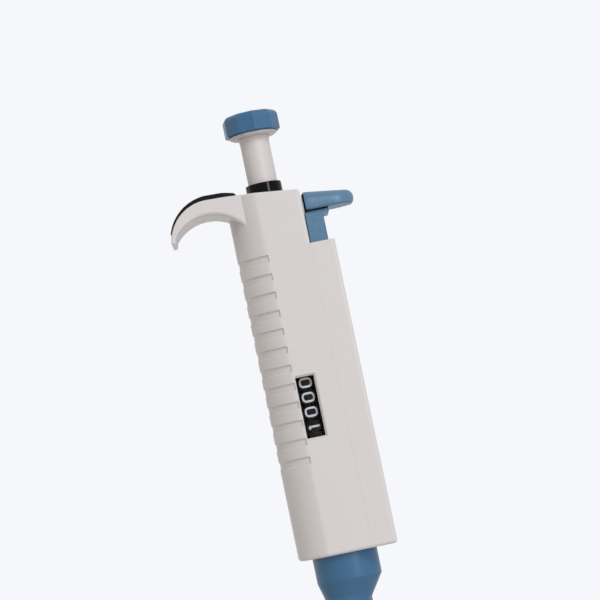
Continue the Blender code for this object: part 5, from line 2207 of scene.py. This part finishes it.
@dataclass
class Studio:
    """The pale surround, the floor that keeps a shadow, and the lamps."""

    backdrop: Colour = (246, 247, 251)
    ambient_colour: tuple[float, float, float, float] = (1.0, 0.92, 0.84, 1.0)
    ambient: float = 0.45
    floor_radius: float = 0.55
    floor_colour: Colour = (245, 243, 240)
    floor_roughness: float = 0.8
    floor_fade: Point2 = (0.35, 0.98)
    aim: Point3 = (0.0, 0.0, 0.17)
    lamps: tuple[Lamp, ...] = (
        Lamp("key", (0.52, -1.03, 1.01), 0.6, 10.75, (252, 253, 255)),
        Lamp("low", (0.68, -1.22, 0.32), 0.26, 3.6, (252, 253, 255)),
        Lamp("rim", (-0.85, 0.35, 0.35), 0.4, 0.6, (255, 246, 238)),
    )

    def surround(self) -> None:
        """Light the scene evenly, and show the pale backdrop to the camera, gloss and glass."""
        world = bpy.data.worlds.new("pale_surround")
        bpy.context.scene.world = world
        world.use_nodes = True
        sky = NodeTree(world.node_tree)
        sky.tree.nodes.clear()
        path = sky.add("ShaderNodeLightPath", {}).outputs
        through = sky.calc("MAXIMUM", path["Is Glossy Ray"], path["Is Transmission Ray"])
        seen = sky.calc("MAXIMUM", path["Is Camera Ray"], through)
        shown = sky.add("ShaderNodeBackground", {"Color": linear(self.backdrop), "Strength": 1.0})
        lit = sky.add("ShaderNodeBackground", {"Color": self.ambient_colour, "Strength": self.ambient})
        mix = sky.add("ShaderNodeMixShader", {0: seen, 1: lit.outputs[0], 2: shown.outputs[0]})
        sky.add("ShaderNodeOutputWorld", {"Surface": mix.outputs[0]})

    def floor(self) -> None:
        """Lay a round pale floor that fades into the backdrop and isn't seen from below."""
        mesh = bmesh.new()
        bmesh.ops.create_circle(mesh, cap_ends=True, segments=96, radius=self.floor_radius)
        data = bpy.data.meshes.new("floor")
        mesh.to_mesh(data)
        mesh.free()
        floor = placed("floor", data)
        shading = Shading("pale_floor")
        looks = {"Base Color": linear(self.floor_colour), "Roughness": self.floor_roughness}
        shading.feed(shading.shader, looks)
        fade = (self.floor_fade[0] * self.floor_radius, self.floor_fade[1] * self.floor_radius)
        place = shading.add("ShaderNodeTexCoord", {}).outputs["Object"]
        reach = shading.add("ShaderNodeVectorMath", {0: place}, operation="LENGTH")
        faded = shading.ramp(reach.outputs["Value"], fade, interpolation_type="SMOOTHSTEP")
        behind = shading.add("ShaderNodeNewGeometry", {}).outputs["Backfacing"]
        hidden = shading.calc("MAXIMUM", faded, behind)
        clear = shading.add("ShaderNodeBsdfTransparent", {})
        mix = shading.add(
            "ShaderNodeMixShader", {0: hidden, 1: shading.shader.outputs[0], 2: clear.outputs[0]}
        )
        shading.feed(shading.tree.nodes["Material Output"], {"Surface": mix.outputs[0]})
        data.materials.append(shading.material)

    def build(self) -> None:
        """Set up the surround, the floor and the lamps."""
        self.surround()
        self.floor()
        for lamp in self.lamps:
            lamp.build(Vector(self.aim))


@dataclass(frozen=True)
class PhotoCamera:
    """The camera at the photograph's viewing angle, rolled so that the pipette leans left."""

    image_width: float = 600.0
    focal_pixels: float = 2400.0
    sensor: float = 36.0
    azimuth: float = -1.6 * DEGREE
    elevation: float = -4.4 * DEGREE
    roll: float = 11.70 * DEGREE
    distance: float = 0.728
    nearest: float = 0.01
    target: Point3 = (3.85 * MM, 0.0, 175.3 * MM)

    def build(self) -> None:
        """Place the camera and make it the scene's own."""
        out = Vector(
            (
                math.sin(self.azimuth) * math.cos(self.elevation),
                -math.cos(self.azimuth) * math.cos(self.elevation),
                math.sin(self.elevation),
            )
        )
        right = (-out).cross(Vector((0, 0, 1))).normalized()
        up = right.cross(-out)
        turn = Matrix.Rotation(self.roll, 3, -out)
        axes = Matrix((turn @ right, turn @ up, out)).transposed()
        data = bpy.data.cameras.new("photo_camera")
        data.sensor_width = self.sensor
        data.lens = self.sensor * self.focal_pixels / self.image_width
        data.clip_start = self.nearest
        camera = placed("photo_camera", data)
        camera.matrix_world = Matrix.Translation(Vector(self.target) + out * self.distance) @ axes.to_4x4()
        bpy.context.scene.camera = camera


def main() -> None:
    """Load the frame, build every sub-assembly around it, and set the studio and the camera."""
    logging.basicConfig(level=logging.INFO, format="%(message)s")
    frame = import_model()
    bpy.context.scene.view_settings.view_transform = "Standard"
    PhotoCamera().build()
    Studio().build()
    bench = Bench(frame["nodes"], Wardrobe(), row_tree(), number_tree(), coil_tree())
    for assembly in (Handle(), Counter(), Plunger(), Ejector(), LiquidEnd()):
        LOG.info("building %s", type(assembly).__name__)
        assembly.build(bench)
    for coil in COILS:
        coil.build(bench)


if __name__ == "__main__":
    main()
